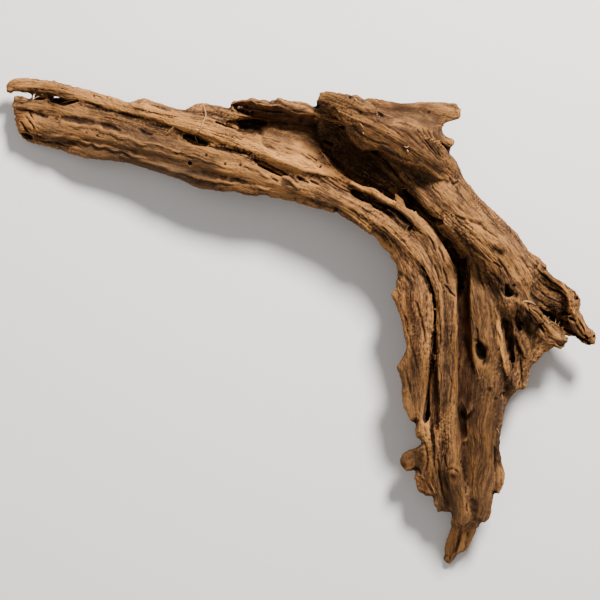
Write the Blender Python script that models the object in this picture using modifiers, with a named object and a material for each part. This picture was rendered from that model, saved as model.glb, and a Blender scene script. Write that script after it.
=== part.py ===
"""Mangrove root: a weathered, branching root that lies on its back, seen from straight above.

The root grew as a bundle of fibrous strands, so it is modelled as one. Each strand is a tapering curve with
an oval section. The strands are grown together into one skin, the hollows are cut out of it, its back is worn
flat where it lies, and it is parted at its main forks.

Places are written on a square drawing grid that is laid over the root as it looks from straight above: x runs
to the right and y runs down, as on a picture. The height z above the floor and every radius are in the same
squares.
"""

import math

import bmesh
import bpy
from mathutils import Matrix, Vector

# Driving dimensions, in metres.
OVERALL_LENGTH = 0.450
EYE_HEIGHT = 1.25
FORK_GAP = 0.0003

# The drawing grid, in squares. The eye is straight above EYE_X, EYE_Y, and what lies at DRAWN_HEIGHT is drawn
# at its true size. MIDDLE_X, MIDDLE_Y is the middle of the root.
DRAWN_LENGTH = 600
DRAWN_HEIGHT = 60
EYE_X = 300.0
EYE_Y = 300.0
MIDDLE_X = 300.3
MIDDLE_Y = 323.6
GRID = OVERALL_LENGTH / DRAWN_LENGTH
EYE = EYE_HEIGHT / GRID

# The limb dips towards its free end, until that end lies on the floor.
LIMB_DIP = 19.0
LIMB_DIP_FROM = 240.0
LIMB_END = 15.0

# How finely the skin is made, in squares.
SKIN_VOXEL = 2.4
HOLLOW_VOXEL = 2.0
SOFTENING_PASSES = 3
SKIN_TRIANGLES = 7900
SAME_SPOT = 0.01

WOOD_COLOUR = (0.33, 0.19, 0.10, 1.0)
WOOD_ROUGHNESS = 0.85

# Each strand is (how deep its section is for its width, stations of (x, y, z, radius)).
LIMB_STRANDS = {
    "limb_heart": (0.62, (
        (34, 119, 28, 19), (64, 126, 31, 22), (100, 132, 34, 25), (150, 141, 39, 27), (200, 156, 43, 28),
        (250, 163, 46, 28), (300, 171, 50, 28), (340, 183, 53, 27), (380, 204, 56, 28),
    )),
    "limb_rail": (1.0, (
        (12, 85.5, 44, 6.5), (24, 85.5, 45, 8), (42, 87, 46, 8), (62, 91, 47, 8.5), (82, 95.5, 48, 8),
        (102, 101.5, 49, 7.5), (125, 107, 51, 8), (155, 114.5, 55, 10), (182, 122, 59, 11),
        (208, 129, 62, 12), (235, 139, 64, 11), (262, 148, 64, 13), (292, 157, 62, 17), (322, 166, 57, 18),
        (345, 177, 50, 15),
    )),
    "limb_brow": (0.9, (
        (18, 104, 42, 8), (38, 107, 44, 8), (58, 110, 46, 8), (84, 114, 48, 9), (112, 119, 50, 9),
        (142, 127, 52, 9), (170, 135, 55, 8), (196, 149, 60, 6), (222, 154, 63, 6), (247, 160, 64, 5),
    )),
    "limb_belly": (0.9, (
        (22, 121, 40, 9), (45, 126, 45, 10), (75, 129, 47, 10), (110, 136, 50, 10), (150, 145, 53, 10),
        (190, 155, 56, 10), (225, 166, 60, 9), (255, 173, 62, 8), (280, 181, 63, 8),
    )),
    "limb_keel": (0.9, (
        (33, 135, 30, 8), (60, 142.5, 33, 9), (95, 149, 34, 10), (130, 152.5, 36, 8.5), (165, 162, 38, 9.5),
        (200, 175.5, 40, 11.5), (240, 181.5, 42, 11), (280, 187, 44, 10.5), (315, 195, 46, 10),
        (342, 203, 48, 7.5), (366, 214, 50, 8.5), (387, 232, 52, 8.5), (398, 250, 52, 7),
    )),
    "limb_back_flake": (0.7, (
        (130, 105, 40, 4), (146, 103, 43, 7), (164, 109, 46, 7), (186, 114, 50, 7), (206, 109, 53, 8),
        (228, 113, 55, 8), (250, 120, 57, 7),
    )),
    "top_flake": (0.7, (
        (232, 104, 60, 6), (250, 103, 64, 8), (272, 106, 68, 9), (293, 107, 70, 9), (312, 110, 73, 9),
        (330, 109, 77, 11),
    )),
    "hollow_back": (0.55, (
        (215, 122, 34, 12), (250, 124, 36, 18), (290, 130, 38, 24), (330, 142, 40, 28), (370, 158, 42, 32),
        (410, 182, 44, 34), (440, 210, 46, 34),
    )),
    "lip": (1.1, (
        (348, 180, 70, 4), (360, 183, 73, 6), (380, 194, 75, 6), (400, 206, 76, 6.5), (418, 222, 76, 7.5),
        (432, 242, 73, 8), (444, 263, 74, 8.5), (449, 285, 74, 8),
    )),
    "long_strand": (1.0, (
        (288, 184, 62, 6), (312, 190, 64, 8), (342, 200, 66, 9), (368, 212, 67, 9.5), (392, 227, 68, 9.5),
        (411, 244, 70, 10), (426, 262, 71, 9), (436, 282, 72, 8.5), (441, 306, 72, 7.5),
    )),
}
CROWN_STRANDS = {
    "crown_ridge": (0.95, (
        (325, 99, 86, 8.5), (337, 102, 91, 12), (352, 110, 96, 16), (375, 126, 101, 16), (398, 137, 103, 18),
        (419, 148, 102, 18), (435, 160, 98, 16), (447, 170, 92, 10),
    )),
    "crown_wall": (1.5, (
        (335, 112, 68, 11), (360, 122, 68, 13), (385, 138, 68, 15), (410, 155, 68, 17), (432, 176, 66, 19),
    )),
    "horn_web": (0.6, (
        (334, 102, 72, 12), (352, 107, 72, 13), (372, 110, 72, 13), (395, 113, 72, 13), (418, 112.5, 70, 13),
        (436, 112.5, 67, 12), (450, 111.5, 64, 10), (457, 111.5, 63, 7),
    )),
    "horn_root": (0.8, (
        (392, 124, 72, 12), (415, 127, 74, 13), (430, 132, 75, 12), (438, 140, 74, 10), (446, 152, 74, 8),
    )),
    "nub": (1.0, ((438, 148, 74, 7), (446, 142.5, 75, 6.5), (451, 142, 75, 5.5))),
    "neck": (1.65, (
        (430, 168, 64, 20), (444, 197, 62, 24), (461, 220, 60, 25), (478, 237, 58, 25), (498, 258, 56, 26),
        (510, 278, 54, 27), (515, 302, 52, 26),
    )),
    "neck_front": (0.9, (
        (404, 178, 76, 8), (424, 195, 82, 11), (446, 211, 86, 12), (470, 227, 88, 13), (492, 244, 88, 14),
        (510, 262, 86, 15), (518, 282, 80, 14),
    )),
    "shoulder": (1.1, (
        (445, 158, 80, 8), (453, 176, 78, 9), (466, 195, 74, 9.5), (484, 214, 71, 10), (503, 232, 68, 10),
        (517, 249, 66, 9.5), (532, 268, 64, 9), (546, 286, 60, 10), (565, 297, 56, 11),
    )),
    "spur_top": (0.9, (
        (540, 278, 60, 15), (555, 293, 56, 13), (566, 303, 52, 12.5), (571, 315, 49, 10),
        (580, 327, 46, 10.5), (588, 337, 44, 10),
    )),
    "spur_low": (0.8, (
        (515, 300, 56, 14), (532, 318, 55, 13), (546, 332, 52, 12), (556, 340, 49, 10), (563, 342, 48, 7),
    )),
    "spur_web": (0.5, ((530, 302, 42, 20), (548, 314, 40, 20), (562, 322, 38, 14), (576, 330, 38, 9))),
    "crown_fold": (0.9, (
        (350, 124, 86, 6), (372, 136, 90, 8), (398, 150, 93, 9), (424, 166, 91, 9), (444, 181, 85, 8),
    )),
    "inner_fold": (1.0, (
        (378, 146, 72, 6), (400, 164, 75, 7), (420, 183, 78, 8), (438, 201, 82, 9), (456, 216, 86, 9),
    )),
    "shelf": (0.9, ((500, 304, 76, 6), (510, 305, 80, 7), (517, 303, 78, 5))),
}
LEG_STRANDS = {
    "leg_heart": (0.42, (
        (417, 234, 54, 30), (437, 268, 53, 37), (450, 305, 51, 42), (454, 350, 48, 43), (455, 400, 45, 42),
        (457, 440, 42, 38), (460, 475, 38, 31), (463, 505, 33, 23),
    )),
    "leg_plane": (0.85, (
        (492, 290, 60, 20), (487, 330, 60, 18), (486, 370, 60, 18), (485, 410, 58, 18), (484, 450, 54, 17),
        (482, 485, 46, 16), (478, 510, 40, 14),
    )),
    "flank": (0.9, (
        (505, 300, 52, 25), (512, 330, 50, 22), (513, 352, 48, 18), (508, 375, 47, 13), (500, 398, 46, 8),
    )),
    "flank_fold_1": (1.0, (
        (497, 312, 74, 4), (500, 334, 75, 4.5), (505, 356, 73, 4.5), (510, 374, 68, 4.5), (514, 388, 58, 5),
    )),
    "flank_fold_2": (1.0, (
        (514, 310, 70, 4.5), (521, 330, 69, 5), (526, 348, 64, 6), (522, 370, 58, 6), (519, 384, 52, 6),
    )),
    "flank_edge": (0.8, (
        (545, 336, 48, 13), (535, 349, 46, 11.5), (523, 367, 45, 10), (515, 382, 45, 9), (503, 400, 45, 6.5),
        (498, 420, 45, 5.5), (497, 440, 45, 5),
    )),
    "channel_wall": (1.0, (
        (449, 285, 74, 7.5), (452, 310, 74, 6), (453, 345, 72, 6), (453, 385, 69, 6), (452, 420, 65, 7),
        (452, 450, 62, 8), (454, 474, 60, 9), (460, 498, 53, 8), (463, 520, 45, 7),
    )),
    "slit_wall": (1.0, (
        (441, 306, 72, 6.5), (442, 340, 71, 5.5), (442, 380, 68, 5.5), (441, 415, 62, 6), (440, 440, 56, 7),
        (443, 466, 52, 8),
    )),
    "strap_crest": (1.0, (
        (374, 227, 50, 7), (392, 243, 55, 8), (407, 260, 60, 8), (417, 276, 64, 7.5), (422, 298, 66, 7.5),
        (423, 325, 66, 7.5), (422, 352, 66, 8), (420, 380, 64, 8.5), (417, 400, 60, 8), (413, 415, 56, 5),
    )),
    "strap_face": (0.7, (
        (399, 262, 48, 8), (402, 280, 54, 8), (401, 296, 57, 10.5), (410, 322, 60, 9.5), (415, 345, 60, 9.5),
        (409, 366, 60, 12.5), (411, 392, 58, 12), (413, 412, 56, 7),
    )),
    "strap_flake": (0.7, ((402, 366, 56, 6), (406, 384, 57, 7), (409, 402, 56, 7), (411, 415, 54, 5))),
    "hem": (0.8, ((424, 416, 42, 9), (427, 430, 42, 11), (434, 442, 40, 10))),
    "knob": (0.75, ((436, 459, 36, 13), (421, 459, 36, 13), (411, 460.5, 36, 13))),
    "low_flake": (0.7, (
        (438, 470, 40, 13), (425, 479, 38, 11), (430, 487, 38, 12), (441, 499, 38, 11), (445, 505, 38, 7),
    )),
    "right_strap": (1.0, ((497, 446, 50, 4.5), (498, 462, 50, 5.5), (499, 476, 50, 6), (497, 489, 49, 5))),
    "toe": (0.85, (
        (466, 490, 32, 22), (466, 505, 27, 19), (465.5, 520, 20, 17), (460.5, 535, 12, 14), (454, 547, 7, 12),
        (449, 557, 4, 8.5),
    )),
}

# The strands that cover the back and the sides: for each heart strand, their angles from straight up.
BACK_STRANDS = {
    "limb_heart": (70, 105, 140, 180, 220, 255, 290),
    "leg_heart": (75, 110, 150, 190, 230, 270, 300),
    "neck": (80, 120, 160, 200, 240, 275),
}
BACK_STRAND_SHARE = 0.36
BACK_STRAND_SUNK = 0.6
BACK_STRAND_SWAY = 0.10
SWAY_PER_STATION = 2.1
SWAY_PER_STRAND = 1.7

# The back swells down to the floor behind the crown, and is worn flat there.
BACK_SWELLING = {
    "back_ridge": (0.85, (
        (352, 138, 40, 18), (384, 148, 30, 26), (412, 166, 22, 29), (438, 192, 18, 29), (466, 220, 18, 28),
        (490, 250, 22, 27), (504, 282, 30, 24), (506, 310, 38, 20),
    )),
    "back_fold": (0.9, (
        (330, 168, 36, 14), (366, 184, 28, 18), (398, 206, 22, 20), (424, 236, 20, 20), (440, 270, 24, 18),
        (448, 310, 30, 14),
    )),
}

HOLLOWS = {
    "crown_hollow": (1.9, (
        (312, 124, 76, 7), (328, 137, 74, 14), (347, 154, 72, 18), (366, 168, 70, 18), (386, 183, 70, 14),
        (404, 198, 70, 10), (420, 211, 70, 7), (436, 221, 72, 4),
    )),
    "crown_undercut": (1.0, ((340, 126, 64, 9), (362, 140, 62, 13), (386, 158, 60, 13), (404, 178, 58, 10))),
    "black_slot": (2.4, ((392, 182, 62, 5), (408, 202, 60, 6), (424, 216, 60, 4))),
    "limb_window": (1.6, ((236, 122, 62, 4), (250, 125, 58, 6.5), (264, 125, 56, 5), (272, 126, 58, 3))),
    "bowl": (1.4, ((262, 122, 76, 7), (288, 124, 76, 9), (312, 130, 76, 12))),
    "rail_gap": (1.6, (
        (4, 95, 44, 2), (20, 94, 44, 2.4), (34, 97, 47, 2.6), (52, 100, 54, 3), (76, 103, 58, 2),
    )),
    "limb_hole": (2.2, ((184, 136, 66, 3), (196, 140, 60, 4.5), (208, 144, 62, 2.5))),
    "lip_trench": (1.4, ((352, 192, 70, 3), (366, 198, 68, 4.5), (384, 207, 68, 4), (402, 218, 72, 2.5))),
    "channel": (2.4, (
        (443, 238, 78, 4), (454, 254, 76, 6), (461, 275, 74, 6.5), (464, 305, 71, 6.5), (465, 345, 69, 6),
        (465, 385, 68, 6), (464, 415, 66, 5), (464, 438, 66, 3),
    )),
    "slit": (3.0, (
        (417, 266, 78, 2), (427, 280, 74, 2.2), (432, 295, 72, 2.4), (434, 320, 70, 2.4), (433, 350, 66, 3.2),
        (432, 378, 62, 4), (429, 402, 60, 4), (425, 422, 56, 3),
    )),
    "oval_hole": (1.6, ((476, 341, 78, 3), (479, 351, 76, 5), (481, 357, 78, 3.5))),
    "flank_pocket": (1.2, ((504, 322, 74, 4), (508, 338, 72, 5.5), (512, 352, 70, 4))),
    "flank_cave": (1.2, ((519, 312, 74, 3.5), (526, 322, 70, 6), (532, 334, 66, 5))),
    "spur_cave": (1.0, ((540, 312, 62, 5), (554, 320, 60, 7), (566, 326, 58, 6), (578, 334, 58, 4))),
    "round_hole": (1.6, ((508, 291, 94, 3.6), (511, 294, 82, 4))),
    "horn_hollow": (0.6, ((372, 112, 84, 5), (392, 115, 84, 6), (412, 117, 84, 5))),
    "strap_gap": (0.7, ((440, 340, 52, 4), (436, 380, 50, 6), (432, 412, 48, 6), (424, 424, 50, 4))),
    "knob_gap": (2.0, ((404, 442, 36, 3.5), (419, 443, 36, 2.4))),
    "flake_gap": (2.0, ((404, 472, 36, 2.4), (416, 471, 36, 1.6))),
}

# The floor, as a box on the grid: (lowest x, y, z) and (highest x, y, z).
FLOOR = ((-60, 20, -60), (660, 640, 0))

# The forks: boxes on the grid, as (lowest x, y, z) and (highest x, y, z). What is in none is the crown.
FORKS = {
    "long_limb": ((-20, 20, -20), (296, 240, 140)),
    "horn": ((438, 60, 46), (480, 126, 140)),
    "right_spur": ((536, 250, -20), (620, 380, 140)),
    "knob": ((380, 445, -20), (416, 472, 140)),
    "leg": ((370, 304, -20), (532, 600, 140)),
}


def place(x, y, z):
    """A place on the drawing grid, in metres. What is nearer the eye looks larger, so it is drawn in."""
    shrink = 1 - (z - DRAWN_HEIGHT) / EYE
    across = EYE_X + (x - EYE_X) * shrink - MIDDLE_X
    up = MIDDLE_Y - EYE_Y - (y - EYE_Y) * shrink
    return Vector((across, up, z)) * GRID


def dipped(stations):
    """The stations, with those along the limb lowered towards its free end."""
    lowered = []
    for x, y, z, radius in stations:
        along = max(0.0, (LIMB_DIP_FROM - x) / (LIMB_DIP_FROM - LIMB_END))
        lowered.append((x, y, z - LIMB_DIP * along ** 1.5, radius))
    return lowered


def clear_scene():
    for thing in list(bpy.data.objects):
        bpy.data.objects.remove(thing)


def collection(name):
    made = bpy.data.collections.new(name)
    bpy.context.scene.collection.children.link(made)
    return made


def oval_section(depth):
    """The section that a strand is drawn out with: a circle of one square, stretched to its depth."""
    name = f"section_{depth:g}"
    if name in bpy.data.objects:
        return bpy.data.objects[name]
    section = bpy.data.curves.new(name, "CURVE")
    oval = section.splines.new("BEZIER")
    oval.bezier_points.add(3)
    for quarter, point in enumerate(oval.bezier_points):
        angle = math.radians(90 * quarter)
        point.co = Vector((math.cos(angle), depth * math.sin(angle), 0)) * GRID
        point.handle_left_type = "AUTO"
        point.handle_right_type = "AUTO"
    oval.use_cyclic_u = True
    section.resolution_u = 4
    guide = bpy.data.objects.new(name, section)
    guide.hide_render = True
    guide.display_type = "WIRE"
    GUIDES.objects.link(guide)
    return guide


def strand_mesh(name, depth, stations):
    """One strand: a smooth curve through its stations, drawn out with an oval section, made a mesh."""
    curve = bpy.data.curves.new(name, "CURVE")
    curve.dimensions = "3D"
    curve.twist_mode = "Z_UP"
    curve.bevel_mode = "OBJECT"
    curve.bevel_object = oval_section(depth)
    curve.use_fill_caps = True
    curve.resolution_u = 5
    spline = curve.splines.new("BEZIER")
    spline.bezier_points.add(len(stations) - 1)
    for point, (x, y, z, radius) in zip(spline.bezier_points, stations):
        point.co = place(x, y, z)
        point.radius = radius
        point.handle_left_type = "AUTO"
        point.handle_right_type = "AUTO"
    drawn = bpy.data.objects.new(name, curve)
    GUIDES.objects.link(drawn)
    graph = bpy.context.evaluated_depsgraph_get()
    mesh = bpy.data.meshes.new_from_object(drawn.evaluated_get(graph))
    bpy.data.objects.remove(drawn)
    return mesh


def rounded_end(bm, depth, station):
    x, y, z, radius = station
    spot = Matrix.Translation(place(x, y, z)) @ Matrix.Diagonal((1, 1, depth, 1))
    bmesh.ops.create_icosphere(bm, subdivisions=2, radius=radius * GRID, matrix=spot)


def fused_skin(name, strands, voxel, home):
    """All the strands, grown together into one closed skin."""
    bm = bmesh.new()
    for strand, (depth, drawn) in strands.items():
        stations = dipped(drawn)
        bm.from_mesh(strand_mesh(strand, depth, stations))
        rounded_end(bm, depth, stations[0])
        rounded_end(bm, depth, stations[-1])
    bmesh.ops.remove_doubles(bm, verts=bm.verts, dist=SAME_SPOT * GRID)
    mesh = bpy.data.meshes.new(name)
    bm.to_mesh(mesh)
    bm.free()
    skin = bpy.data.objects.new(name, mesh)
    home.objects.link(skin)
    reskin(skin, voxel)
    return skin


def reskin(thing, voxel):
    grown = thing.modifiers.new("grown together", "REMESH")
    grown.mode = "VOXEL"
    grown.voxel_size = voxel * GRID
    settle(thing)


def settle(thing):
    """Work out the object's modifiers and keep the result as its mesh."""
    graph = bpy.context.evaluated_depsgraph_get()
    mesh = bpy.data.meshes.new_from_object(thing.evaluated_get(graph))
    thing.modifiers.clear()
    thing.data = mesh


def boolean(thing, operation, cutter, solver="EXACT"):
    step = thing.modifiers.new(operation.lower(), "BOOLEAN")
    step.operation = operation
    step.solver = solver
    step.object = cutter
    settle(thing)


def box(name, low, high):
    """A box on the drawing grid, as a cutter."""
    left, right = place(low[0], low[1], DRAWN_HEIGHT), place(high[0], high[1], DRAWN_HEIGHT)
    lowest = Vector((left.x, right.y, low[2] * GRID))
    highest = Vector((right.x, left.y, high[2] * GRID))
    size = highest - lowest
    mesh = bpy.data.meshes.new(name)
    bm = bmesh.new()
    spot = Matrix.Translation((lowest + highest) / 2) @ Matrix.Diagonal((*size, 1))
    bmesh.ops.create_cube(bm, size=1, matrix=spot)
    bm.to_mesh(mesh)
    bm.free()
    cutter = bpy.data.objects.new(name, mesh)
    cutter.hide_render = True
    cutter.display_type = "WIRE"
    CUTTERS.objects.link(cutter)
    return cutter


def widened(low, high, by):
    """The corners of a box that reaches further by the same amount on every side."""
    return [edge - by for edge in low], [edge + by for edge in high]


def round_a_heart(depth, stations, angle, number):
    """The stations of one strand that runs along a heart strand, at an angle from the side that faces up."""
    line = []
    for step, (x, y, z, radius) in enumerate(stations):
        before = stations[max(step - 1, 0)]
        after = stations[min(step + 1, len(stations) - 1)]
        along = Vector((after[0] - before[0], after[1] - before[1])).normalized()
        sway = BACK_STRAND_SWAY * math.sin(SWAY_PER_STATION * step + SWAY_PER_STRAND * number)
        turn = math.radians(angle) + sway
        out = radius * (1 - BACK_STRAND_SUNK * BACK_STRAND_SHARE) * (1 + sway)
        line.append((
            x + along.y * out * math.sin(turn),
            y - along.x * out * math.sin(turn),
            z + depth * out * math.cos(turn),
            radius * BACK_STRAND_SHARE,
        ))
    return tuple(line)


def back_strands():
    """Strands laid round the hearts, so that the back is as fluted as the front."""
    hearts = {**LIMB_STRANDS, **CROWN_STRANDS, **LEG_STRANDS}
    made = {}
    for heart, angles in BACK_STRANDS.items():
        for number, angle in enumerate(angles):
            made[f"{heart}_{angle}"] = (1.0, round_a_heart(*hearts[heart], angle, number))
    return made


def whole_root():
    """The root in one piece: the strands grown together, softened, hollowed, and worn flat where it lies."""
    strands = {**LIMB_STRANDS, **CROWN_STRANDS, **LEG_STRANDS, **BACK_SWELLING, **back_strands()}
    root = fused_skin("root", strands, SKIN_VOXEL, CUTTERS)
    soften = root.modifiers.new("soften", "SMOOTH")
    soften.iterations = SOFTENING_PASSES
    settle(root)
    hollows = fused_skin("hollows", HOLLOWS, HOLLOW_VOXEL, CUTTERS)
    boolean(root, "DIFFERENCE", hollows)
    reskin(root, SKIN_VOXEL)
    triangles = sum(len(face.vertices) - 2 for face in root.data.polygons)
    coarser = root.modifiers.new("coarser", "DECIMATE")
    coarser.ratio = SKIN_TRIANGLES / triangles
    coarser.use_collapse_triangulate = True
    settle(root)
    boolean(root, "DIFFERENCE", box("floor", *FLOOR), "MANIFOLD")
    for guide in (root, hollows):
        guide.hide_render = True
        guide.display_type = "WIRE"
    return root


def largest_body(thing):
    """Keep the largest connected body, because a fork's cut can leave crumbs."""
    bm = bmesh.new()
    bm.from_mesh(thing.data)
    bodies = []
    left = set(bm.verts)
    while left:
        rim = [left.pop()]
        body = set(rim)
        while rim:
            vert = rim.pop()
            for edge in vert.link_edges:
                other = edge.other_vert(vert)
                if other not in body:
                    body.add(other)
                    rim.append(other)
        left -= body
        bodies.append(body)
    bodies.sort(key=len)
    for crumb in bodies[:-1]:
        bmesh.ops.delete(bm, geom=list(crumb), context="VERTS")
    bmesh.ops.triangulate(bm, faces=bm.faces)
    bm.to_mesh(thing.data)
    bm.free()


def wood(name):
    material = bpy.data.materials.new(name)
    material.use_nodes = True
    shader = material.node_tree.nodes["Principled BSDF"]
    shader.inputs["Base Color"].default_value = WOOD_COLOUR
    shader.inputs["Roughness"].default_value = WOOD_ROUGHNESS
    shader.inputs["Metallic"].default_value = 0.0
    return material


def piece(name, whole):
    made = bpy.data.objects.new(name, whole.data.copy())
    ROOT.objects.link(made)
    return made


def parted_at_the_forks(root):
    """The root as one solid for each branch, a hair apart where they grew from each other."""
    half_gap = FORK_GAP / GRID / 2
    crown = piece("crown", root)
    pieces = [crown]
    for name, (low, high) in FORKS.items():
        branch = piece(name, crown)
        boolean(branch, "INTERSECT", box(f"{name}_inside", *widened(low, high, -half_gap)), "MANIFOLD")
        boolean(crown, "DIFFERENCE", box(f"{name}_outside", *widened(low, high, half_gap)), "MANIFOLD")
        pieces.append(branch)
    for branch in pieces:
        largest_body(branch)
        branch.data.materials.clear()
        branch.data.materials.append(wood(f"{branch.name}_wood"))
    return pieces


clear_scene()
ROOT = collection("mangrove_root")
CUTTERS = collection("cutters")
GUIDES = collection("guides")
parted_at_the_forks(whole_root())
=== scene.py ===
# %% [markdown]
# # A weathered mangrove root
#
# Driftwood is the woody core of a root after sand, sun and water have taken everything soft away. What is
# left is a bundle of fibres: ropes of grain that part round old holes, split along their length, and go
# nearly black where the light doesn't reach. This lesson starts from the plain solid branches and works
# from large to small, in the order that the weather did: thick strands first, then splits, then grain, then
# colour.

import bmesh
import bpy
import numpy as np
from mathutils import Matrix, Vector
from mathutils.bvhtree import BVHTree
from mathutils.interpolate import poly_3d_calc


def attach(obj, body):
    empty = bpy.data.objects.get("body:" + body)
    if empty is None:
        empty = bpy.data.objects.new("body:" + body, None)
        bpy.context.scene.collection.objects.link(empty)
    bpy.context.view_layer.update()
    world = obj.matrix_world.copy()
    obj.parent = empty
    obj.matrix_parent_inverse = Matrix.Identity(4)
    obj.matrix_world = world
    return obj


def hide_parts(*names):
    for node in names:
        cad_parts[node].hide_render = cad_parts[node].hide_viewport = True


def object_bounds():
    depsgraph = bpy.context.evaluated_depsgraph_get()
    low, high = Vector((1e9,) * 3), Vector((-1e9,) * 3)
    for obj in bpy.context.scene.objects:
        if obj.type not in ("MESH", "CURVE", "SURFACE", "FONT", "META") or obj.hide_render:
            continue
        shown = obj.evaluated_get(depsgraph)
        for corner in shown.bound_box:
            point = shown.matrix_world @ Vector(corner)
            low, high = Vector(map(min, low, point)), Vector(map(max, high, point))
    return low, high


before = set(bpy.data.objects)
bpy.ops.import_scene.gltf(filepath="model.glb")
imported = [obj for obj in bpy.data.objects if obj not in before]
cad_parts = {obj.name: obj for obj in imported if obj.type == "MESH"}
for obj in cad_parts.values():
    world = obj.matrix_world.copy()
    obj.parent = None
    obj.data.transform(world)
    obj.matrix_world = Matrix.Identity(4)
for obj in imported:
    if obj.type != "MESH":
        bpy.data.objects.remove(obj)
CAD_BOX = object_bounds()
print("branches:", sorted(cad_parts), "box:", [list(corner) for corner in CAD_BOX])

# %% [markdown]
# ## The drawing grid
#
# Every place on the root is given on a square grid, 600 squares on a side, as the root looks from straight
# above: x runs to the right and y runs down. Heights are in the same squares. One function turns a place on
# the grid into metres, and another turns metres back into the grid. Both allow for the eye, which sees near
# things larger.

# %% The grid
GRID = 0.00075
EYE = 1.25 / GRID
EYE_X = 300.0
EYE_Y = 300.0
DRAWN_HEIGHT = 60
MIDDLE_X = 300.3
MIDDLE_Y = 323.6


def place(x, y, z):
    """A place on the grid, in metres."""
    shrink = 1 - (z - DRAWN_HEIGHT) / EYE
    across = EYE_X + (x - EYE_X) * shrink - MIDDLE_X
    up = MIDDLE_Y - EYE_Y - (y - EYE_Y) * shrink
    return Vector((across, up, z)) * GRID


def on_grid(points):
    """Places in metres, as rows of x, y, z on the grid."""
    x, y, z = points.T / GRID
    shrink = 1 - (z - DRAWN_HEIGHT) / EYE
    return np.stack([
        EYE_X + (x + MIDDLE_X - EYE_X) / shrink,
        EYE_Y + (MIDDLE_Y - EYE_Y - y) / shrink,
        z,
    ], axis=1)


def off_grid(squares):
    """Rows of x, y, z on the grid, as places in metres."""
    x, y, z = squares.T
    shrink = 1 - (z - DRAWN_HEIGHT) / EYE
    return np.stack([
        EYE_X + (x - EYE_X) * shrink - MIDDLE_X,
        MIDDLE_Y - EYE_Y - (y - EYE_Y) * shrink,
        z,
    ], axis=1) * GRID


print("the middle of the grid is at", tuple(round(v, 4) for v in place(MIDDLE_X, MIDDLE_Y, DRAWN_HEIGHT)))

# %% [markdown]
# ## Camera, light and floor
#
# The root lies on its back, so the camera looks straight down on it through a long lens. The key light
# comes from the top right at half height, so that it rakes across the grain and leaves the hollows dark. A
# wide pale fill keeps the dark side from going black.

# %% Camera
SENSOR = 36.0
VIEW_WIDTH = 0.450
FAR_END = 20


def linked(name, data):
    """A new object in the scene."""
    thing = bpy.data.objects.new(name, data)
    bpy.context.scene.collection.objects.link(thing)
    return thing


camera_data = bpy.data.cameras.new("camera")
camera_data.sensor_width = SENSOR
camera_data.lens = SENSOR * EYE * GRID / VIEW_WIDTH
camera_data.clip_end = FAR_END
camera = linked("camera", camera_data)
camera.location = place(EYE_X, EYE_Y, DRAWN_HEIGHT) + Vector((0, 0, EYE * GRID))
bpy.context.scene.camera = camera
print("lens", round(camera_data.lens, 1), "mm at", round(camera.location.z, 3), "m")

# %% Lights
AIM = place(330, 260, 40)
SKY_COLOUR = (1, 0.985, 0.97)
SKY_STRENGTH = 0.35


def soft_light(name, direction, distance, size, power, colour):
    """A round lamp as far as this from the root, and turned to it."""
    lamp = bpy.data.lights.new(name, "AREA")
    lamp.shape = "DISK"
    lamp.size = size
    lamp.energy = power
    lamp.color = colour
    holder = linked(name, lamp)
    holder.location = AIM + Vector(direction).normalized() * distance
    holder.rotation_euler = (AIM - holder.location).to_track_quat("-Z", "Y").to_euler()
    print(name, "light at", [round(v, 2) for v in holder.location])


soft_light("key", direction=(0.34, 0.74, 0.78), distance=1.6, size=0.40, power=78, colour=(1.0, 0.96, 0.90))
soft_light("fill", direction=(-0.3, 0.1, 1.0), distance=2.2, size=1.6, power=6, colour=(1.0, 0.98, 0.96))

world = bpy.data.worlds.new("studio")
world.use_nodes = True
sky = world.node_tree.nodes["Background"]
sky.inputs["Color"].default_value = (*SKY_COLOUR, 1)
sky.inputs["Strength"].default_value = SKY_STRENGTH
bpy.context.scene.world = world

# %% Floor
FLOOR_SIZE = 12.0
FLOOR_COLOUR = (0.86, 0.85, 0.84)
FLOOR_ROUGHNESS = 0.9


def drawn(name, bm):
    """A new object with what the bmesh holds as its mesh."""
    mesh = bpy.data.meshes.new(name)
    bm.to_mesh(mesh)
    bm.free()
    return linked(name, mesh)


def plain_material(name, colour, roughness):
    material = bpy.data.materials.new(name)
    material.use_nodes = True
    shader = material.node_tree.nodes["Principled BSDF"]
    shader.inputs["Base Color"].default_value = (*colour, 1)
    shader.inputs["Roughness"].default_value = roughness
    return material


bm = bmesh.new()
bmesh.ops.create_grid(bm, x_segments=1, y_segments=1, size=FLOOR_SIZE / 2)
floor = drawn("floor", bm)
floor.data.materials.append(plain_material("pale_floor", FLOOR_COLOUR, FLOOR_ROUGHNESS))
print("floor:", FLOOR_SIZE, "m wide")

# %% [markdown]
# ## One skin
#
# The branches come as separate solids with small flat faces. Merged into one mesh and remeshed with small
# voxels they grow back into one skin, and a few rounds of smoothing take the flats away.

# %% Grow the branches together
BASE_VOXEL = 0.0012
BASE_SMOOTHING = 6
SAME_PLACE = 1e-6


def settle(thing):
    """Work out the modifiers and keep the result as the object's mesh."""
    graph = bpy.context.evaluated_depsgraph_get()
    mesh = bpy.data.meshes.new_from_object(thing.evaluated_get(graph))
    thing.modifiers.clear()
    thing.data = mesh


def voxel_remesh(thing, voxel):
    """Melts everything in the object into one closed skin of small squares."""
    step = thing.modifiers.new("voxels", "REMESH")
    step.mode = "VOXEL"
    step.voxel_size = voxel
    settle(thing)


def smooth(thing, rounds):
    step = thing.modifiers.new("smooth", "SMOOTH")
    step.iterations = rounds
    step.factor = 0.5
    settle(thing)


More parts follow.
